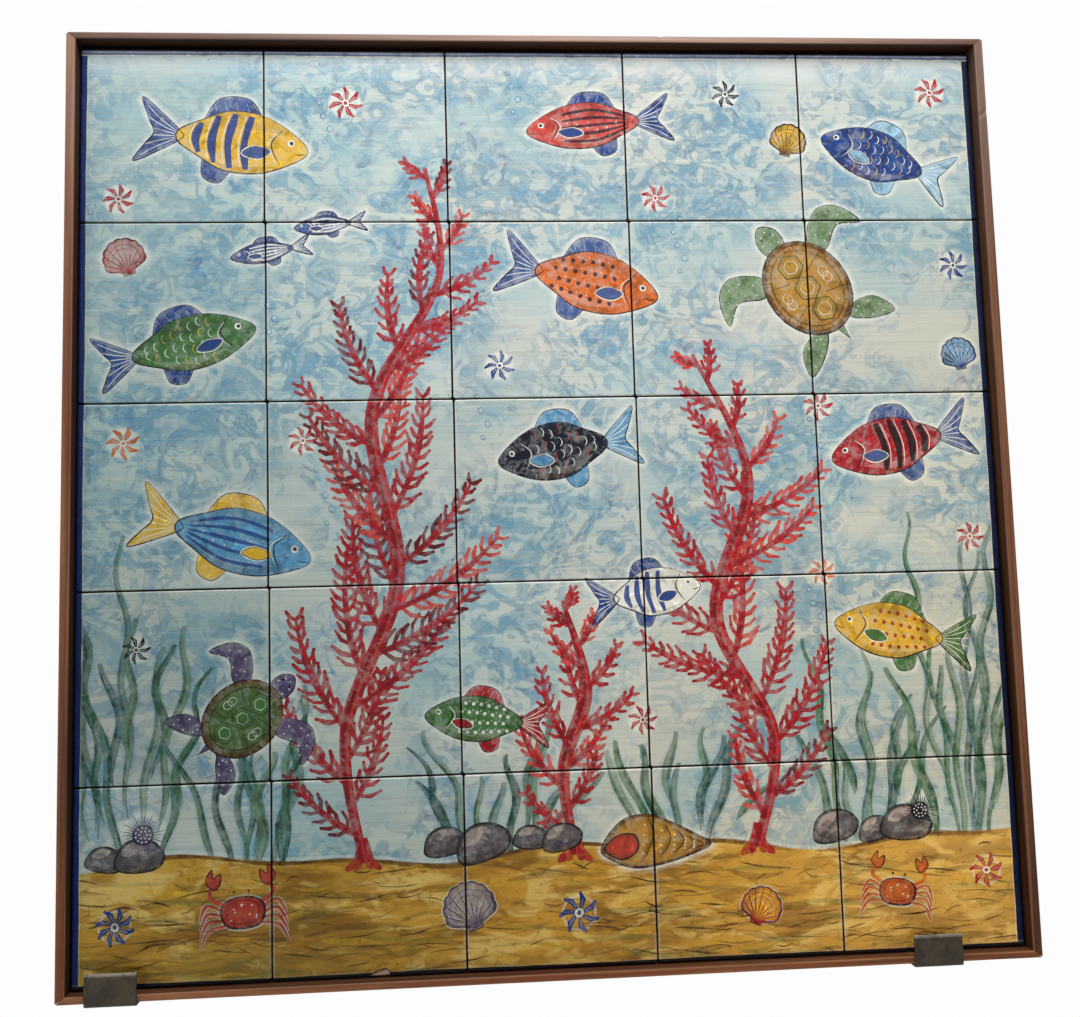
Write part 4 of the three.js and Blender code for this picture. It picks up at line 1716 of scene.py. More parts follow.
@dataclass(frozen=True)
class EdgeChip:
    """A flake broken off a tile's lower edge, in millimetres from the tile's lower left corner."""

    node: str = "tile_r5_c2"
    outline: tuple[Point, ...] = ((100.0, -1.0), (100.7, 1.5), (104.4, 4.0), (107.6, 5.2), (111.6, 6.6),
                                  (116.2, 7.4), (118.8, 6.2), (119.7, 2.8), (120.0, -1.0))
    bed: tuple[Point, ...] = ((102.3, -1.0), (103.6, 1.6), (107.4, 3.5), (110.4, 3.9), (114.2, 5.3),
                              (117.4, 4.9), (118.5, 2.0), (118.7, -1.0))
    depth: float = 1.5
    slope: float = 1.2
    rough: float = 0.25
    facets: Point = (2.7, 1.9)
    shade_band: float = 1.9

    def depth_at(self, x: float, z: float) -> float:
        """How far behind the face the break lies.

        Args:
            x: Across from the tile's corner, in millimetres.
            z: Up from it.

        Returns:
            The depth, and 0 outside the break.
        """
        inside, near = False, self.slope
        for (ax, az), (bx, bz) in zip(self.outline, self.outline[1:]):
            run = (bx - ax) ** 2 + (bz - az) ** 2
            t = min(1.0, max(0.0, ((x - ax) * (bx - ax) + (z - az) * (bz - az)) / run))
            near = min(near, math.hypot(x - ax - t * (bx - ax), z - az - t * (bz - az)))
            if (az > z) != (bz > z) and x < ax + (z - az) / (bz - az) * (bx - ax):
                inside = not inside
        uneven = 1 + self.rough * math.sin(x * self.facets[0] + z * self.facets[1])
        return self.depth * uneven * near / self.slope if inside else 0.0

    def paint(self, canvas: Canvas, corner: Point) -> None:
        """Paints a dark line along the break's upper edge: a painted shadow at the broken glaze's edge.

        Args:
            canvas: The canvas.
            corner: The tile's lower left corner.
        """
        Brush(canvas, *corner).line(self.outline[:-1], self.shade_band, Hue.SEPIA, 1.0, (0.9, 0.5))


@dataclass
class PaintedTile:
    """One tile: a soft-edged slab whose face carries its share of the painting."""

    node: str
    canvas: Canvas
    chip: EdgeChip | None = None
    edge_radius: float = 1.6
    corner_radius: float = 2.5
    guard: float = 0.35
    sharp: float = 0.05
    buried: float = 0.25
    solid_paint: float = 0.72
    rim_reach: float = 2.4
    rim_side: float = 0.45
    wobble: float = 0.35
    wobble_reach: float = 7.0
    long_wave: Point = (23.0, 31.0)
    middle_wave: Point = (9.0, 11.0)
    short_wave: Point = (4.1, 4.7)
    no_run: float = 1e-9
    join_reach: float = 1e-4
    arc_steps: int = 5

    def __post_init__(self) -> None:
        """Reads the tile's place from the frame, in millimetres."""
        low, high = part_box(self.node)
        self.low = (low.x / MM, low.z / MM)
        self.high = (high.x / MM, high.z / MM)
        self.front = -low.y / MM
        self.back = -high.y / MM
        rng = random.Random(self.node)
        self.fired = rng.uniform(0.15, 1.0)
        self.phases = [rng.uniform(0, math.tau) for _ in range(4)]

    def _inset(self, x: float, z: float) -> tuple[float, float, float]:
        """How far a point lies inside the outline.

        Args:
            x: Across, in millimetres.
            z: Up, in millimetres.

        Returns:
            The distance inside, and the outward direction across and up.
        """
        cx, cz = (self.low[0] + self.high[0]) / 2, (self.low[1] + self.high[1]) / 2
        dx, dz = x - cx, z - cz
        qx = abs(dx) - ((self.high[0] - self.low[0]) / 2 - self.corner_radius)
        qz = abs(dz) - ((self.high[1] - self.low[1]) / 2 - self.corner_radius)
        ox, oz = max(qx, 0.0), max(qz, 0.0)
        run = math.hypot(ox, oz)
        inset = self.corner_radius - (run + min(max(qx, qz), 0.0))
        if run > self.no_run:
            return inset, math.copysign(ox / run, dx), math.copysign(oz / run, dz)
        if qx > qz:
            return inset, math.copysign(1.0, dx), 0.0
        return inset, 0.0, math.copysign(1.0, dz)

    def _ring(self, inset: float) -> list[Point]:
        """Draws the tile's outline.

        Args:
            inset: How far it is drawn in.

        Returns:
            The outline, anticlockwise.
        """
        reach = self.corner_radius - inset
        points = []
        corners = ((self.high[0], self.high[1], -1, -1), (self.low[0], self.high[1], 1, -1),
                   (self.low[0], self.low[1], 1, 1), (self.high[0], self.low[1], -1, 1))
        for quarter, (x, z, sx, sz) in enumerate(corners):
            if reach <= self.sharp:
                points.append((x + sx * inset, z + sz * inset))
                continue
            for step in range(self.arc_steps + 1):
                angle = (quarter + step / self.arc_steps) * math.pi / 2
                points.append((x + sx * self.corner_radius + reach * math.cos(angle),
                               z + sz * self.corner_radius + reach * math.sin(angle)))
        return points

    def _partition(self) -> tuple[list[Vector], list[list[int]], list[tuple[int, ...]], list[Patch]]:
        """Cuts the face along every painted edge.

        Returns:
            The points, the triangles, the numbers of the patches over each, and the patches.
        """
        patches = self.canvas.over(self.low, self.high)
        verts: list[Vector] = []
        faces: list[list[int]] = []
        edges: list[tuple[int, int]] = []

        def loop(points: Sequence[Point]) -> list[int]:
            """Adds points and gives their numbers."""
            verts.extend(Vector(p) for p in points)
            return list(range(len(verts) - len(points), len(verts)))

        faces.append(loop(self._ring(0.0)))
        insets = [self.edge_radius * (1 - math.cos(math.pi / 2 * step / self.arc_steps))
                  for step in range(1, self.arc_steps + 1)]
        for inset in (*insets, self.edge_radius + self.guard, self.wobble_reach):
            edges += ring(loop(self._ring(inset)))
        for line in (self.chip.outline, self.chip.bed) if self.chip else ():
            run = loop([(self.low[0] + x, self.low[1] + z) for x, z in line])
            edges += list(zip(run, run[1:]))
        for patch in patches:
            faces.append(loop(patch.outline))
        out = delaunay_2d_cdt(verts, edges, faces, 1, self.join_reach, True)
        kept, over = [], []
        for face, source in zip(out[2], out[5]):
            if 0 in source:
                x, z = (sum(out[0][i][k] for i in face) / len(face) for k in (0, 1))
                kept.append(list(face))
                over.append(tuple(sorted(s - 1 for s in source if s and patches[s - 1].reaches(x, z))))
        return out[0], kept, over, patches

    def _laid(self, over: tuple[int, ...], patches: Sequence[Patch]) -> tuple[Colour, float, float, float]:
        """Lays the patches over one small face on each other.

        Args:
            over: Numbers of the patches.
            patches: All patches of the tile.

        Returns:
            The pigment's colour and cover, the sand's cover, and how far the wash is wiped off.
        """
        strokes: dict[int, Patch] = {}
        for number in over:
            strokes[patches[number].stroke] = patches[number]
        colour, cover, sand, left = (0.0, 0.0, 0.0), 0.0, 0.0, 1.0
        for key in sorted(strokes):
            patch = strokes[key]
            if patch.layer is Layer.SAND:
                sand = 1.0
                colour, cover, left = (0.0, 0.0, 0.0), cover * self.buried, 1.0
            elif patch.layer is Layer.WIPED:
                left *= 1 - patch.cover
                cover *= 1 - 0.5 * patch.cover if cover < self.solid_paint else 1
            else:
                total = patch.cover + cover * (1 - patch.cover)
                share = patch.cover / total
                colour = tuple(n * share + o * (1 - share) for n, o in zip(patch.colour, colour))
                cover = total
        return colour, cover, sand, 1 - left

    def _broken(self, x: float, z: float) -> float:
        """Depth of the chip at a point of the face, in millimetres."""
        return self.chip.depth_at(x - self.low[0], z - self.low[1]) if self.chip else 0.0

    def _drift(self, x: float, z: float, inset: float) -> float:
        """Finds how far the hand-cut edge is drawn in near a point.

        Args:
            x: Across, in millimetres.
            z: Up.
            inset: How far the point lies inside the edge.

        Returns:
            The distance in millimetres.
        """
        if inset >= self.wobble_reach:
            return 0.0
        a, b, c, d = self.phases
        (lx, lz), (mx, mz), (sx, sz) = self.long_wave, self.middle_wave, self.short_wave
        wave = 2 + math.sin(x / lx + z / lz + a) + math.sin(x / mx - z / mz + b)
        wave += 0.5 * (math.sin(x / sx + c) + math.sin(z / sz + d))
        return self.wobble * max(0.0, wave) / 5 * (1 - inset / self.wobble_reach)

    def build(self, glaze: Material, clay: Material) -> bpy.types.Object:
        """Makes the tile's mesh and shows it.

        Args:
            glaze: The material of the painted face.
            clay: The material of the sides and back.

        Returns:
            The tile's object.
        """
        points, faces, over, patches = self._partition()
        used = sorted({i for face in faces for i in face})
        index = {old: new for new, old in enumerate(used)}
        places, normals, rims = [], [], []
        for old in used:
            x, z = points[old]
            inset, gx, gz = self._inset(x, z)
            inset = max(inset, 0.0)
            drawn = self._drift(x, z, inset)
            if inset < self.edge_radius:
                cosine = 1 - inset / self.edge_radius
                sine = math.sqrt(max(0.0, 1 - cosine * cosine))
            else:
                cosine, sine = 0.0, 1.0
            depth = self.front - self.edge_radius * (1 - sine) - self._broken(x, z)
            places.append(((x - gx * drawn) * MM, -depth * MM, (z - gz * drawn) * MM))
            normals.append((gx * cosine, -sine, gz * cosine))
            # The pale rim at each tile's edge is partly thin glaze and partly a painted highlight: strongest
            # on upward edges, faintest on downward ones.
            highlight_facing = self.rim_side + (1 - self.rim_side) * max(gz, 0.0) - self.rim_side * 0.5 * max(-gz, 0.0)
            rims.append(highlight_facing * max(0.0, 1 - inset / self.rim_reach))
        triangles = [tuple(index[i] for i in face) for face in faces]
        sides, back = self._sides(triangles, places)
        mesh = bpy.data.meshes.new(f"painted_{self.node}")
        mesh.from_pydata(places, [], [*triangles, *sides, back])
        self._attributes(mesh, triangles, over, patches, rims)
        middles = [[sum(points[i][k] for i in face) / len(face) for k in (0, 1)] for face in faces]
        glazed = [self._broken(x, z) == 0 for x, z in middles]
        loops = []
        for number, polygon in enumerate(mesh.polygons):
            smooth_face = number < len(triangles) and glazed[number]
            polygon.use_smooth = smooth_face
            polygon.material_index = 0 if smooth_face else 1
            for vertex in polygon.vertices:
                loops.append(normals[vertex] if smooth_face else tuple(polygon.normal))
        mesh.normals_split_custom_set(loops)
        mesh.materials.append(glaze)
        mesh.materials.append(clay)
        return PiecePlace.show(mesh, f"painted_{self.node}", "painted_glaze", self.node)

    def _sides(self, triangles: Sequence[tuple[int, ...]],
               places: list[tuple[float, float, float]]) -> tuple[list[tuple[int, ...]], tuple[int, ...]]:
        """Closes the slab behind its face.

        Args:
            triangles: The face's triangles, seen anticlockwise from the front.
            places: The vertices, to which the back's are added.

        Returns:
            The side faces and the back face.
        """
        forward: dict[int, int] = {}
        seen = {pair for triangle in triangles for pair in ring(triangle)}
        for a, b in seen:
            if (b, a) not in seen:
                forward[a] = b
        start = next(iter(forward))
        rim = [start]
        while forward[rim[-1]] != start:
            rim.append(forward[rim[-1]])
        base = len(places)
        places.extend((places[i][0], -self.back * MM, places[i][2]) for i in rim)
        count = len(rim)
        sides = [(rim[(k + 1) % count], rim[k], base + k, base + (k + 1) % count) for k in range(count)]
        return sides, tuple(base + k for k in reversed(range(count)))

    def _attributes(self, mesh: bpy.types.Mesh, triangles: Sequence[tuple[int, ...]],
                    over: Sequence[tuple[int, ...]], patches: Sequence[Patch],
                    rims: Sequence[float]) -> None:
        """Writes the painting and the ground masks onto the face corners.

        Args:
            mesh: The tile's mesh.
            triangles: The face's triangles.
            over: Numbers of the patches over each.
            patches: All patches of the tile.
            rims: How near each vertex is to the tile's edge.
        """
        laid: dict[tuple[int, ...], tuple[Colour, float, float, float]] = {}
        paint, ground = [], []
        for triangle, numbers in zip(triangles, over):
            if numbers not in laid:
                laid[numbers] = self._laid(numbers, patches)
            colour, cover, sand, wiped = laid[numbers]
            for vertex in triangle:
                paint.extend((*colour, cover))
                ground.extend((sand, wiped, rims[vertex], self.fired))
        rest = len(mesh.loops) * 4 - len(paint)
        for name, values in ((PAINT_ATTRIBUTE, paint), (GROUND_ATTRIBUTE, ground)):
            layer = mesh.color_attributes.new(name, "FLOAT_COLOR", "CORNER")
            layer.data.foreach_set("color", [*values, *([0.0] * rest)])


@dataclass
class TileField:
    """The five courses of painted tiles."""

    courses: int = 5
    columns: int = 5

    def nodes(self) -> list[str]:
        """Names of the tiles, top left to bottom right."""
        return [f"tile_r{r}_c{c}" for r in range(1, self.courses + 1) for c in range(1, self.columns + 1)]

    def build(self) -> None:
        """Paints the canvas and makes every tile."""
        first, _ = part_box(f"tile_r{self.courses}_c1")
        _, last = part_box(f"tile_r1_c{self.columns}")
        canvas = SeaGarden(first.x / MM, last.x / MM, first.z / MM, last.z / MM).paint()
        glaze, clay = GlazeFinish().material(), ClayFinish().material()
        chip = EdgeChip()
        low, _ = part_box(chip.node)
        chip.paint(canvas, (low.x / MM, low.z / MM))
        for node in self.nodes():
            PaintedTile(node, canvas, chip if node == chip.node else None).build(glaze, clay)


class FormTree(NodeSheet):
    """A Geometry Nodes tree that ends realised and with a material set."""

    def __init__(self, name: str) -> None:
        """Starts an empty tree.

        Args:
            name: The tree's name.
        """
        super().__init__(bpy.data.node_groups.new(name, "GeometryNodeTree"))
        self.tree.is_modifier = True
        self.tree.interface.new_socket(name="Geometry", in_out="OUTPUT", socket_type="NodeSocketGeometry")
        self.entry, self.exit = self.node("NodeGroupInput"), self.node("NodeGroupOutput")

    def size(self, name: str, kind: str = "Float") -> Socket:
        """Adds a named input to the tree.

        Args:
            name: The input's name.
            kind: The kind of socket.

        Returns:
            The socket that gives the input's value.
        """
        self.tree.interface.new_socket(name=name, in_out="INPUT", socket_type=f"NodeSocket{kind}")
        return self.entry.outputs[name]

    def store(self, geometry: Socket, name: str, value: Socket) -> Socket:
        """Keeps a value of each point as a mesh attribute."""
        kind, inputs = "GeometryNodeStoreNamedAttribute", {0: geometry, "Name": name, "Value": value}
        return self.node(kind, inputs, data_type="FLOAT", domain="POINT").outputs[0]

    def eased(self, outline: Socket, radius: object, steps: int) -> Socket:
        """Rounds the corners of a curve."""
        inputs = {0: outline, "Radius": radius, "Count": steps, "Limit Radius": True}
        return self.node("GeometryNodeFilletCurve", inputs, mode="POLY").outputs[0]

    def end(self, geometry: Socket) -> None:
        """Realises the geometry, sets the material and closes the tree.

        Args:
            geometry: The finished form.
        """
        real = self.node("GeometryNodeRealizeInstances", {0: geometry}).outputs[0]
        material = self.size("Material", "Material")
        dressed = self.node("GeometryNodeSetMaterial", {0: real, "Material": material})
        self.put(self.exit.inputs[0], dressed.outputs[0])

    def grow(self, values: dict[str, object]) -> bpy.types.Mesh:
        """Evaluates the tree once.

        Args:
            values: The tree's inputs by name.

        Returns:
            The plain mesh.
        """
        carrier = bpy.data.objects.new("carrier", bpy.data.meshes.new("carrier"))
        bpy.context.scene.collection.objects.link(carrier)
        modifier = carrier.modifiers.new("form", "NODES")
        modifier.node_group = self.tree
        for item in self.tree.interface.items_tree:
            if item.in_out == "INPUT":
                modifier[item.identifier] = values[item.name]
        graph = bpy.context.evaluated_depsgraph_get()
        grown = carrier.evaluated_get(graph)
        mesh = bpy.data.meshes.new_from_object(grown, preserve_all_data_layers=True, depsgraph=graph)
        carrier.modifiers.remove(modifier)
        bpy.data.objects.remove(carrier)
        return mesh


class Member(Enum):
    """The four mitred members, each with its quarter turns from the left stile."""

    STILE_LEFT = 0
    RAIL_TOP = 1
    STILE_RIGHT = 2
    RAIL_BOTTOM = 3


@dataclass
class TrayFrame:
    """The mitred tray frame that stands proud of the tiles."""

    arris: float = 1.5
    arris_steps: int = 4
    corner: float = 2.6
    gap: float = 0.15
    loops: int = 420
    end_crowding: float = 1.6
    unevenness: float = 0.22
    nick_reach: float = 3.2
    nick_depth: float = 0.7
    pocket_slack: float = 0.5
    pocket_depth: float = 3.5
    rub_reach: float = 0.35
    rub_share: float = 0.9
    dust_and_sheen_edge: float = 0.9
    dust_and_sheen_fade: float = 0.72
    waves_across: float = 6.0
    waves_along: float = 11.0
    seed_step: float = 3.7
    no_nick: float = 9e3

    def __post_init__(self) -> None:
        """Reads the frame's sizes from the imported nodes, in millimetres."""
        stile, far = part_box("frame_stile_left"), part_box("frame_stile_right")
        rail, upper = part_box("frame_rail_bottom"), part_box("frame_rail_top")
        self.width, self.height = (far[1].x - stile[0].x) / MM, (upper[1].z - rail[0].z) / MM
        self.depth = -stile[0].y / MM
        self.stile_face = (stile[1].x - stile[0].x) / MM
        self.rail_face = (rail[1].z - rail[0].z) / MM

    def _tree(self) -> FormTree:
        """The tree that sweeps one upright member and cuts its mitres.

        Returns:
            The tree. Its outer face lies on the YZ plane and its back on the XZ plane.
        """
        t = FormTree("mitred_member")
        length, face, depth = t.size("Length"), t.size("Face"), t.size("Depth")
        arris, corner, slope = t.size("Arris"), t.size("Corner"), t.size("Mitre slope")
        gap, uneven, seed = t.size("Gap"), t.size("Unevenness"), t.size("Seed")
        nick_place, nick_reach, nick_depth = t.size("Nick place"), t.size("Nick reach"), t.size("Nick depth")
        pocket_one, pocket_two = t.size("Pocket one"), t.size("Pocket two")
        has_pockets, pocket_wide = t.size("Pockets", "Bool"), t.size("Pocket width")
        pocket_deep = t.size("Pocket depth")
        # Sweep
        line = t.node("GeometryNodeCurvePrimitiveLine", {"Start": (0, 0, -1), "End": (0, 0, 1)})
        path = t.node("GeometryNodeResampleCurve", {0: line.outputs[0], "Count": self.loops})
        outline = t.node("GeometryNodeCurvePrimitiveQuadrilateral", {0: face, 1: depth}).outputs[0]
        section = t.eased(outline, arris, self.arris_steps)
        swept = t.node("GeometryNodeCurveToMesh", {0: path.outputs[0], 1: section, "Fill Caps": True})
        # Places along and across
        here = t.node("ShaderNodeSeparateXYZ", {0: t.node("GeometryNodeInputPosition").outputs[0]})
        across, inward, share = here.outputs
        half_face, half_depth = t.times(face, 0.5), t.times(depth, 0.5)
        outer, front = t.plus(across, half_face), t.less(inward, half_depth)
        rest, half = t.less(1.0, t.math("ABSOLUTE", share)), t.times(length, 0.5)
        from_end = t.times(half, t.math("POWER", t.most(rest), self.end_crowding))
        lack = t.most(t.less(corner, from_end))
        chord = t.math("SQRT", t.less(t.times(corner, corner), t.times(lack, lack)))
        ease = t.less(corner, chord)
        along = t.times(t.math("SIGN", share), t.less(half, from_end))
        # Unevenness and nick
        where = t.point(t.times(outer, self.waves_across), t.times(front, self.waves_across),
                        t.plus(t.times(along, self.waves_along), seed))
        noise = t.node("ShaderNodeTexNoise", {"Vector": where, "Scale": 1.0, "Detail": 3.0})
        wave = t.times(noise.outputs[0], uneven)
        away = t.over(t.less(along, nick_place), nick_reach)
        dent = t.most(t.less(1.0, t.times(away, away)))
        near_front = t.most(t.less(1.0, t.over(t.plus(front, depth), nick_reach)))
        dent = t.times(dent, near_front)
        drawn = t.plus(wave, t.times(dent, nick_depth))
        new_outer = t.most(t.less(outer, t.times(t.math("SIGN", across), drawn)), ease)
        new_front = t.less(front, t.times(t.math("SIGN", inward), drawn))
        # Mitres
        limit = t.less(half, t.plus(t.times(new_outer, slope), gap))
        mitred = t.over(t.times(along, limit), half)
        # Wear, dust and painted sheen, and grime and painted shade
        to_side = t.less(half_face, t.math("ABSOLUTE", across))
        to_front = t.less(half_depth, t.math("ABSOLUTE", inward))
        squares = t.plus(t.times(to_side, to_side), t.times(to_front, to_front))
        rubbed = t.less(1.0, t.over(t.math("SQRT", squares), arris))
        rub_side = t.most(t.less(1.0, t.over(outer, t.times(face, self.rub_reach))))
        wear = t.most(t.most(rubbed), t.times(t.times(dent, rub_side), self.rub_share))
        exposed = t.less(1.0, t.over(t.plus(front, depth), t.times(arris, self.dust_and_sheen_edge)))
        fade = t.less(1.0, t.times(t.times(share, share), self.dust_and_sheen_fade))
        film = t.times(t.times(t.most(exposed), fade), t.size("Film"))
        soft = t.times(arris, 0.5)
        inside = t.over(t.plus(t.less(outer, face), soft), soft)
        grime = t.times(t.most(inside), t.size("Grime"))
        kept = swept.outputs[0]
        for name, value in (("wear", wear), ("film", film), ("recess", grime)):
            kept = t.store(kept, name, value)
        place = t.point(new_outer, new_front, mitred)
        moved = t.node("GeometryNodeSetPosition", {0: kept, "Position": place}).outputs[0]
        # Pockets for the clips
        block = t.point(t.times(face, 3.0), t.times(pocket_deep, 2.0), pocket_wide)
        pocket = t.node("GeometryNodeMeshCube", {0: block}).outputs[0]
        tools = t.node("GeometryNodeJoinGeometry")
        for height in (pocket_one, pocket_two):
            set_in = t.node("GeometryNodeTransform", {0: pocket, "Translation": t.point(0.0, 0.0, height)})
            t.put(tools.inputs[0], set_in.outputs[0])
        cut = t.node("GeometryNodeMeshBoolean", {0: moved, 1: tools.outputs[0]}, operation="DIFFERENCE")
        choice = {0: has_pockets, 1: moved, 2: cut.outputs[0]}
        t.end(t.node("GeometryNodeSwitch", choice, input_type="GEOMETRY").outputs[0])
        return t

    def build(self) -> None:
        """Grows the four members and turns each to its place."""
        tree = self._tree()
        upright = WalnutFinish("walnut_upright", True).material()
        level = WalnutFinish("walnut_level", False).material()
        nicks = {Member.STILE_RIGHT: -427.0, Member.RAIL_TOP: 141.0}
        # Dust and painted sheen: mostly on the top rail's face.
        dust_and_sheen_shares = dict(zip(Member, (0.0, 0.72, 0.03, 0.0)))
        # Grime and painted shade in the recess, darkest on the left stile.
        grime_and_shade_shares = dict(zip(Member, (0.85, 0.72, 0.7, 0.65)))
        clips = []
        for side in ("left", "right"):
            low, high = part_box(f"support_clip_{side}")
            clips.append(((low.x + high.x) / 2 / MM, (high.x - low.x) / MM))
        for member in Member:
            is_stile = member.value % 2 == 0
            face, run = (self.stile_face, self.rail_face) if is_stile else (self.rail_face, self.stile_face)
            lengths = {
                "Length": self.height if is_stile else self.width, "Face": face, "Depth": self.depth,
                "Arris": self.arris, "Corner": self.corner, "Gap": self.gap, "Unevenness": self.unevenness,
                "Nick place": nicks.get(member, self.no_nick), "Nick reach": self.nick_reach,
                "Nick depth": self.nick_depth, "Pocket one": -clips[0][0], "Pocket two": -clips[1][0],
                "Pocket width": clips[0][1] + 2 * self.pocket_slack, "Pocket depth": self.pocket_depth}
            mesh = tree.grow({
                **{name: length * MM for name, length in lengths.items()},
                "Mitre slope": run / face, "Seed": self.seed_step * member.value,
                "Pockets": member is Member.RAIL_BOTTOM, "Film": dust_and_sheen_shares[member], "Grime": grime_and_shade_shares[member],
                "Material": upright if is_stile else level})
            turn = Matrix.Rotation(member.value * math.pi / 2, 4, "Y")
            outside = -(self.width if is_stile else self.height) / 2 * MM
            mesh.transform(turn @ Matrix.Translation((outside, 0.0, 0.0)))
            name = member.name.lower()
            PiecePlace.show(mesh, f"walnut_{name}", "walnut", f"frame_{name}")


@dataclass
class SupportClip:
    """A bent steel strip that carries the frame: wall plate, shelf and front lip."""

    node: str
    steel: float = 3.0
    lip: float = 33.0
    bend: float = 3.5
    bend_steps: int = 6
    burr: float = 0.35
    burr_steps: int = 2
    hole: float = 2.5
    hole_sides: int = 24
    hole_spacing: float = 28.0
    hole_drop: float = 14.0

    def tree(self) -> FormTree:
        """The tree that bends the strip and drills its two holes.

        Returns:
            The tree.
        """
        t = FormTree("bent_clip")
        left, right, front = t.size("Left"), t.size("Right"), t.size("Front")
        under, plate, lip = t.size("Underside"), t.size("Plate top"), t.size("Lip top")
        steel, bend, burr = t.size("Steel"), t.size("Bend"), t.size("Burr")
        hole, spacing, drop = t.size("Hole radius"), t.size("Hole spacing"), t.size("Hole drop")
        core = t.times(steel, 0.5)
        middle = t.times(t.plus(left, right), 0.5)
        floor, back = t.plus(under, core), t.times(core, -1.0)
        lip_core = t.plus(front, core)
        line = t.node("GeometryNodeCurvePrimitiveLine", {"Start": (0, 0, 1), "End": (0, 0, 0)})
        path = t.node("GeometryNodeResampleCurve", {0: line.outputs[0], "Count": 4})
        index = t.node("GeometryNodeInputIndex").outputs[0]
        stops = t.node("GeometryNodeIndexSwitch", {0: index}, data_type="VECTOR")
        corners = ((back, plate), (back, floor), (lip_core, floor), (lip_core, lip))
        while len(stops.index_switch_items) < len(corners):
            stops.index_switch_items.new()
        for number, (y, z) in enumerate(corners):
            t.put(stops.inputs[number + 1], t.point(middle, y, z))
        bent = t.node("GeometryNodeSetPosition", {0: path.outputs[0], "Position": stops.outputs[0]})
        rounded = t.eased(bent.outputs[0], t.less(bend, core), self.bend_steps)
        flat = t.node("GeometryNodeSetCurveNormal", {0: rounded}, mode="MINIMUM_TWIST").outputs[0]
        section = t.node("GeometryNodeCurvePrimitiveQuadrilateral", {0: t.less(right, left), 1: steel})
        filed = t.eased(section.outputs[0], burr, self.burr_steps)
        strip = t.node("GeometryNodeCurveToMesh", {0: flat, 1: filed, "Fill Caps": True}).outputs[0]
        through = {"Vertices": self.hole_sides, "Radius": hole, "Depth": t.times(steel, 4.0)}
        drill = t.node("GeometryNodeMeshCylinder", through).outputs[0]
        first = t.point(t.less(middle, t.times(spacing, 0.5)), back, t.less(plate, drop))
        step = t.point(spacing)
        row = t.node("GeometryNodeMeshLine", {"Count": 2, "Start Location": first, "Offset": step})
        drills = t.node("GeometryNodeInstanceOnPoints", {
            "Points": row.outputs[0], "Instance": drill, "Rotation": (math.pi / 2, 0.0, 0.0)})
        solid = t.node("GeometryNodeRealizeInstances", {0: drills.outputs[0]}).outputs[0]
        holed = t.node("GeometryNodeMeshBoolean", {0: strip, 1: solid}, operation="DIFFERENCE")
        t.end(holed.outputs[0])
        return t

    def build(self, tree: FormTree, material: Material) -> bpy.types.Object:
        """Grows the clip in its place.

        Args:
            tree: The clip's tree.
            material: The steel.

        Returns:
            The clip's object.
        """
        low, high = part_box(self.node)
        mesh = tree.grow({
            "Left": low.x, "Right": high.x, "Front": low.y, "Underside": low.z, "Plate top": high.z,
            "Lip top": low.z + self.lip * MM, "Steel": self.steel * MM, "Bend": self.bend * MM,
            "Burr": self.burr * MM, "Hole radius": self.hole * MM, "Hole spacing": self.hole_spacing * MM,
            "Hole drop": self.hole_drop * MM, "Material": material})
        return PiecePlace.show(mesh, self.node.replace("support", "steel"), "dark_steel", self.node)


@dataclass
class SupportClips:
    """Both clips below the frame."""

    nodes: tuple[str, str] = ("support_clip_left", "support_clip_right")

    def build(self) -> None:
        """Makes both clips from one tree."""
        low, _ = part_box(self.nodes[0])
        material = SteelFinish(low.z + SupportClip.lip * MM).material()
        tree = SupportClip(self.nodes[0]).tree()
        for node in self.nodes:
            SupportClip(node).build(tree, material)


@dataclass
class BackingBoard:
    """The plywood board behind the tiles, which keeps its own solid."""

    node: str = "backing_board"

    def dress(self) -> None:
        """Gives the board its plywood."""
        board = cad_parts[self.node]
        board.data.materials.clear()
        board.data.materials.append(PlywoodFinish().material())


@dataclass(frozen=True)
class SoftLamp:
    """A soft light that faces the panel's middle, in metres and watts."""

    name: str
    place: Place
    size: Point
    power: float
    colour: Colour

    def hang(self) -> None:
        """Puts the lamp into the scene."""
        data = bpy.data.lights.new(self.name, "AREA")
        data.shape = "RECTANGLE"
        data.size, data.size_y = self.size
        data.energy = self.power
        data.color = self.colour
        obj = bpy.data.objects.new(self.name, data)
        bpy.context.scene.collection.objects.link(obj)
        obj.location = self.place
        obj.rotation_euler = (-Vector(self.place)).to_track_quat("-Z", "Y").to_euler()


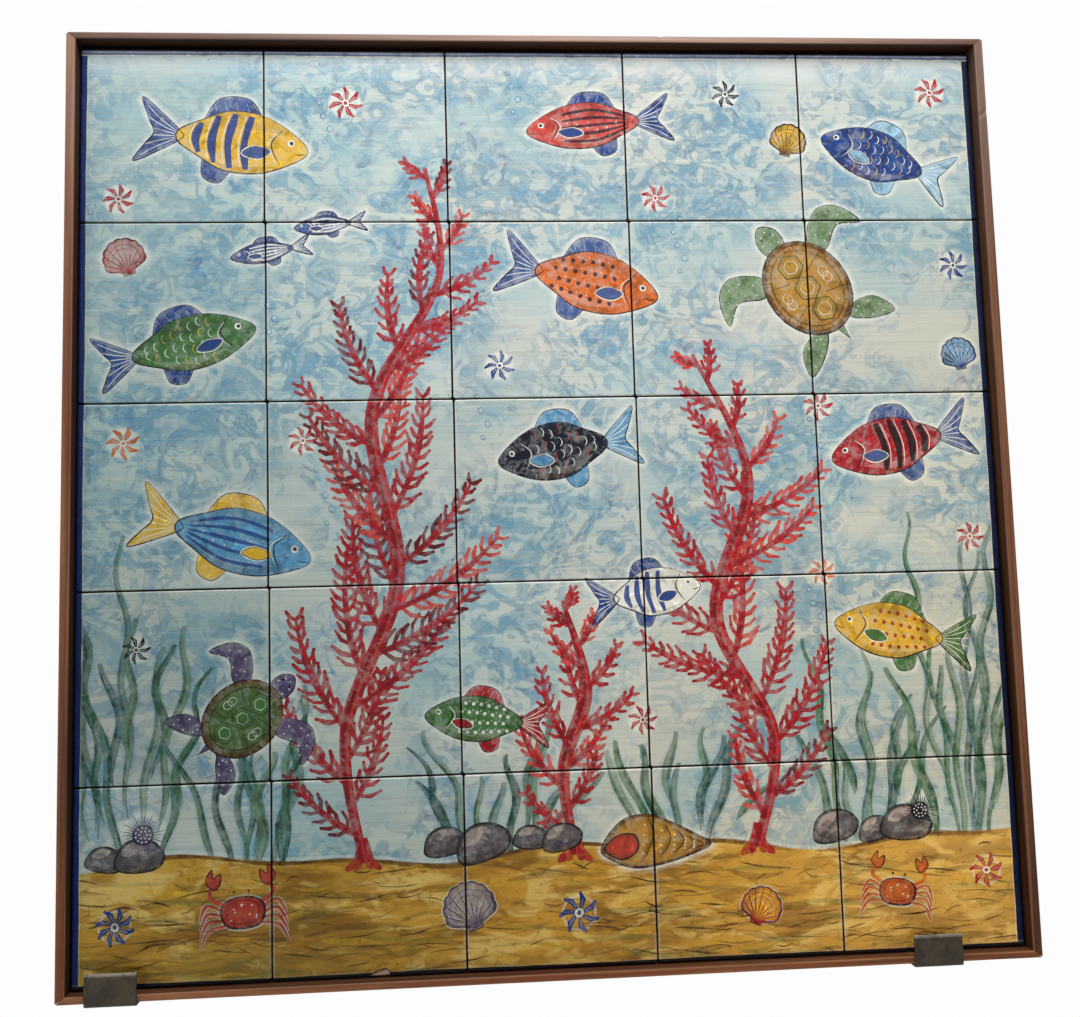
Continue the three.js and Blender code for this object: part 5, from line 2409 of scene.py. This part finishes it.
@dataclass
class Studio:
    """Camera, lights, floor and the pale surround."""

    photo_width: int = 1080
    focal_pixels: float = 1164.3
    sensor: float = 36.0
    eye: Place = (-0.09832, -1.28098, -0.14118)
    yaw: float = 4.016
    pitch: float = 5.52
    roll: float = -1.571
    near_clip: float = 0.01
    lamps: tuple[SoftLamp, ...] = (
        SoftLamp("key_above", (0.1, -1.2, 2.0), (2.2, 0.9), 56.0, (1.0, 0.98, 0.95)),
        SoftLamp("fill_left", (-1.9, -1.5, 0.3), (1.0, 1.6), 13.0, (1.0, 0.96, 0.9)))
    fill_light: Colour = tone(244, 243, 240)
    backdrop: Colour = tone(253, 253, 253)
    sky: tuple[float, ...] = (-0.1, 0.8, 0.16, 0.8)
    floor_sides: int = 64
    floor_reach: float = 3.0
    floor_height: float = -1.6

    def camera(self) -> None:
        """Sets the camera at the photograph's viewpoint."""
        data = bpy.data.cameras.new("camera")
        data.sensor_fit = "HORIZONTAL"
        data.sensor_width = self.sensor
        data.lens = self.sensor * self.focal_pixels / self.photo_width
        data.clip_start = self.near_clip
        obj = bpy.data.objects.new("camera", data)
        bpy.context.scene.collection.objects.link(obj)
        yaw, pitch, roll = (math.radians(a) for a in (self.yaw, self.pitch, self.roll))
        turn = Matrix.Rotation(-yaw, 4, "Z") @ Matrix.Rotation(pitch, 4, "X")
        turn = turn @ Matrix.Rotation(math.pi / 2, 4, "X") @ Matrix.Rotation(roll, 4, "Z")
        obj.matrix_world = Matrix.Translation(self.eye) @ turn
        bpy.context.scene.camera = obj

    def surround(self) -> None:
        """Makes the pale world and the floor."""
        world = bpy.data.worlds.new("studio")
        bpy.context.scene.world = world
        world.use_nodes = True
        sheet = NodeSheet(world.node_tree)
        sheet.tree.nodes.clear()
        direction = sheet.node("ShaderNodeTexCoord").outputs["Generated"]
        height = sheet.node("ShaderNodeSeparateXYZ", {0: direction}).outputs[2]
        spread = dict(zip(("From Min", "From Max", "To Min", "To Max"), self.sky))
        strength = sheet.node("ShaderNodeMapRange", {"Value": height, **spread}).outputs["Result"]
        fill = sheet.node("ShaderNodeBackground", {"Color": self.fill_light, "Strength": strength})
        seen = sheet.node("ShaderNodeBackground", {"Color": self.backdrop, "Strength": 1.0})
        is_seen = sheet.node("ShaderNodeLightPath").outputs["Is Camera Ray"]
        mixed = sheet.node("ShaderNodeMixShader", {0: is_seen, 1: fill.outputs[0], 2: seen.outputs[0]})
        sheet.node("ShaderNodeOutputWorld", {"Surface": mixed.outputs[0]})
        mesh = bpy.data.meshes.new("studio_floor")
        angles = [math.tau * i / self.floor_sides for i in range(self.floor_sides)]
        rim = [(*ray(angle, self.floor_reach), self.floor_height) for angle in angles]
        mesh.from_pydata(rim, [], [tuple(range(self.floor_sides))])
        mesh.materials.append(StageFinish().material())
        floor = bpy.data.objects.new("studio_floor", mesh)
        bpy.context.scene.collection.objects.link(floor)

    def build(self) -> None:
        """Sets up the whole studio."""
        bpy.context.scene.view_settings.view_transform = "Standard"
        self.camera()
        for lamp in self.lamps:
            lamp.hang()
        self.surround()


def write_sizes() -> None:
    """Updates the view layer."""
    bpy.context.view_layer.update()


def main() -> None:
    """Builds the studio and every piece in order."""
    logging.basicConfig(level=logging.INFO, format="%(name)s %(message)s")
    Studio().build()
    TileField().build()
    TrayFrame().build()
    SupportClips().build()
    BackingBoard().dress()
    write_sizes()


if __name__ == "__main__":
    main()
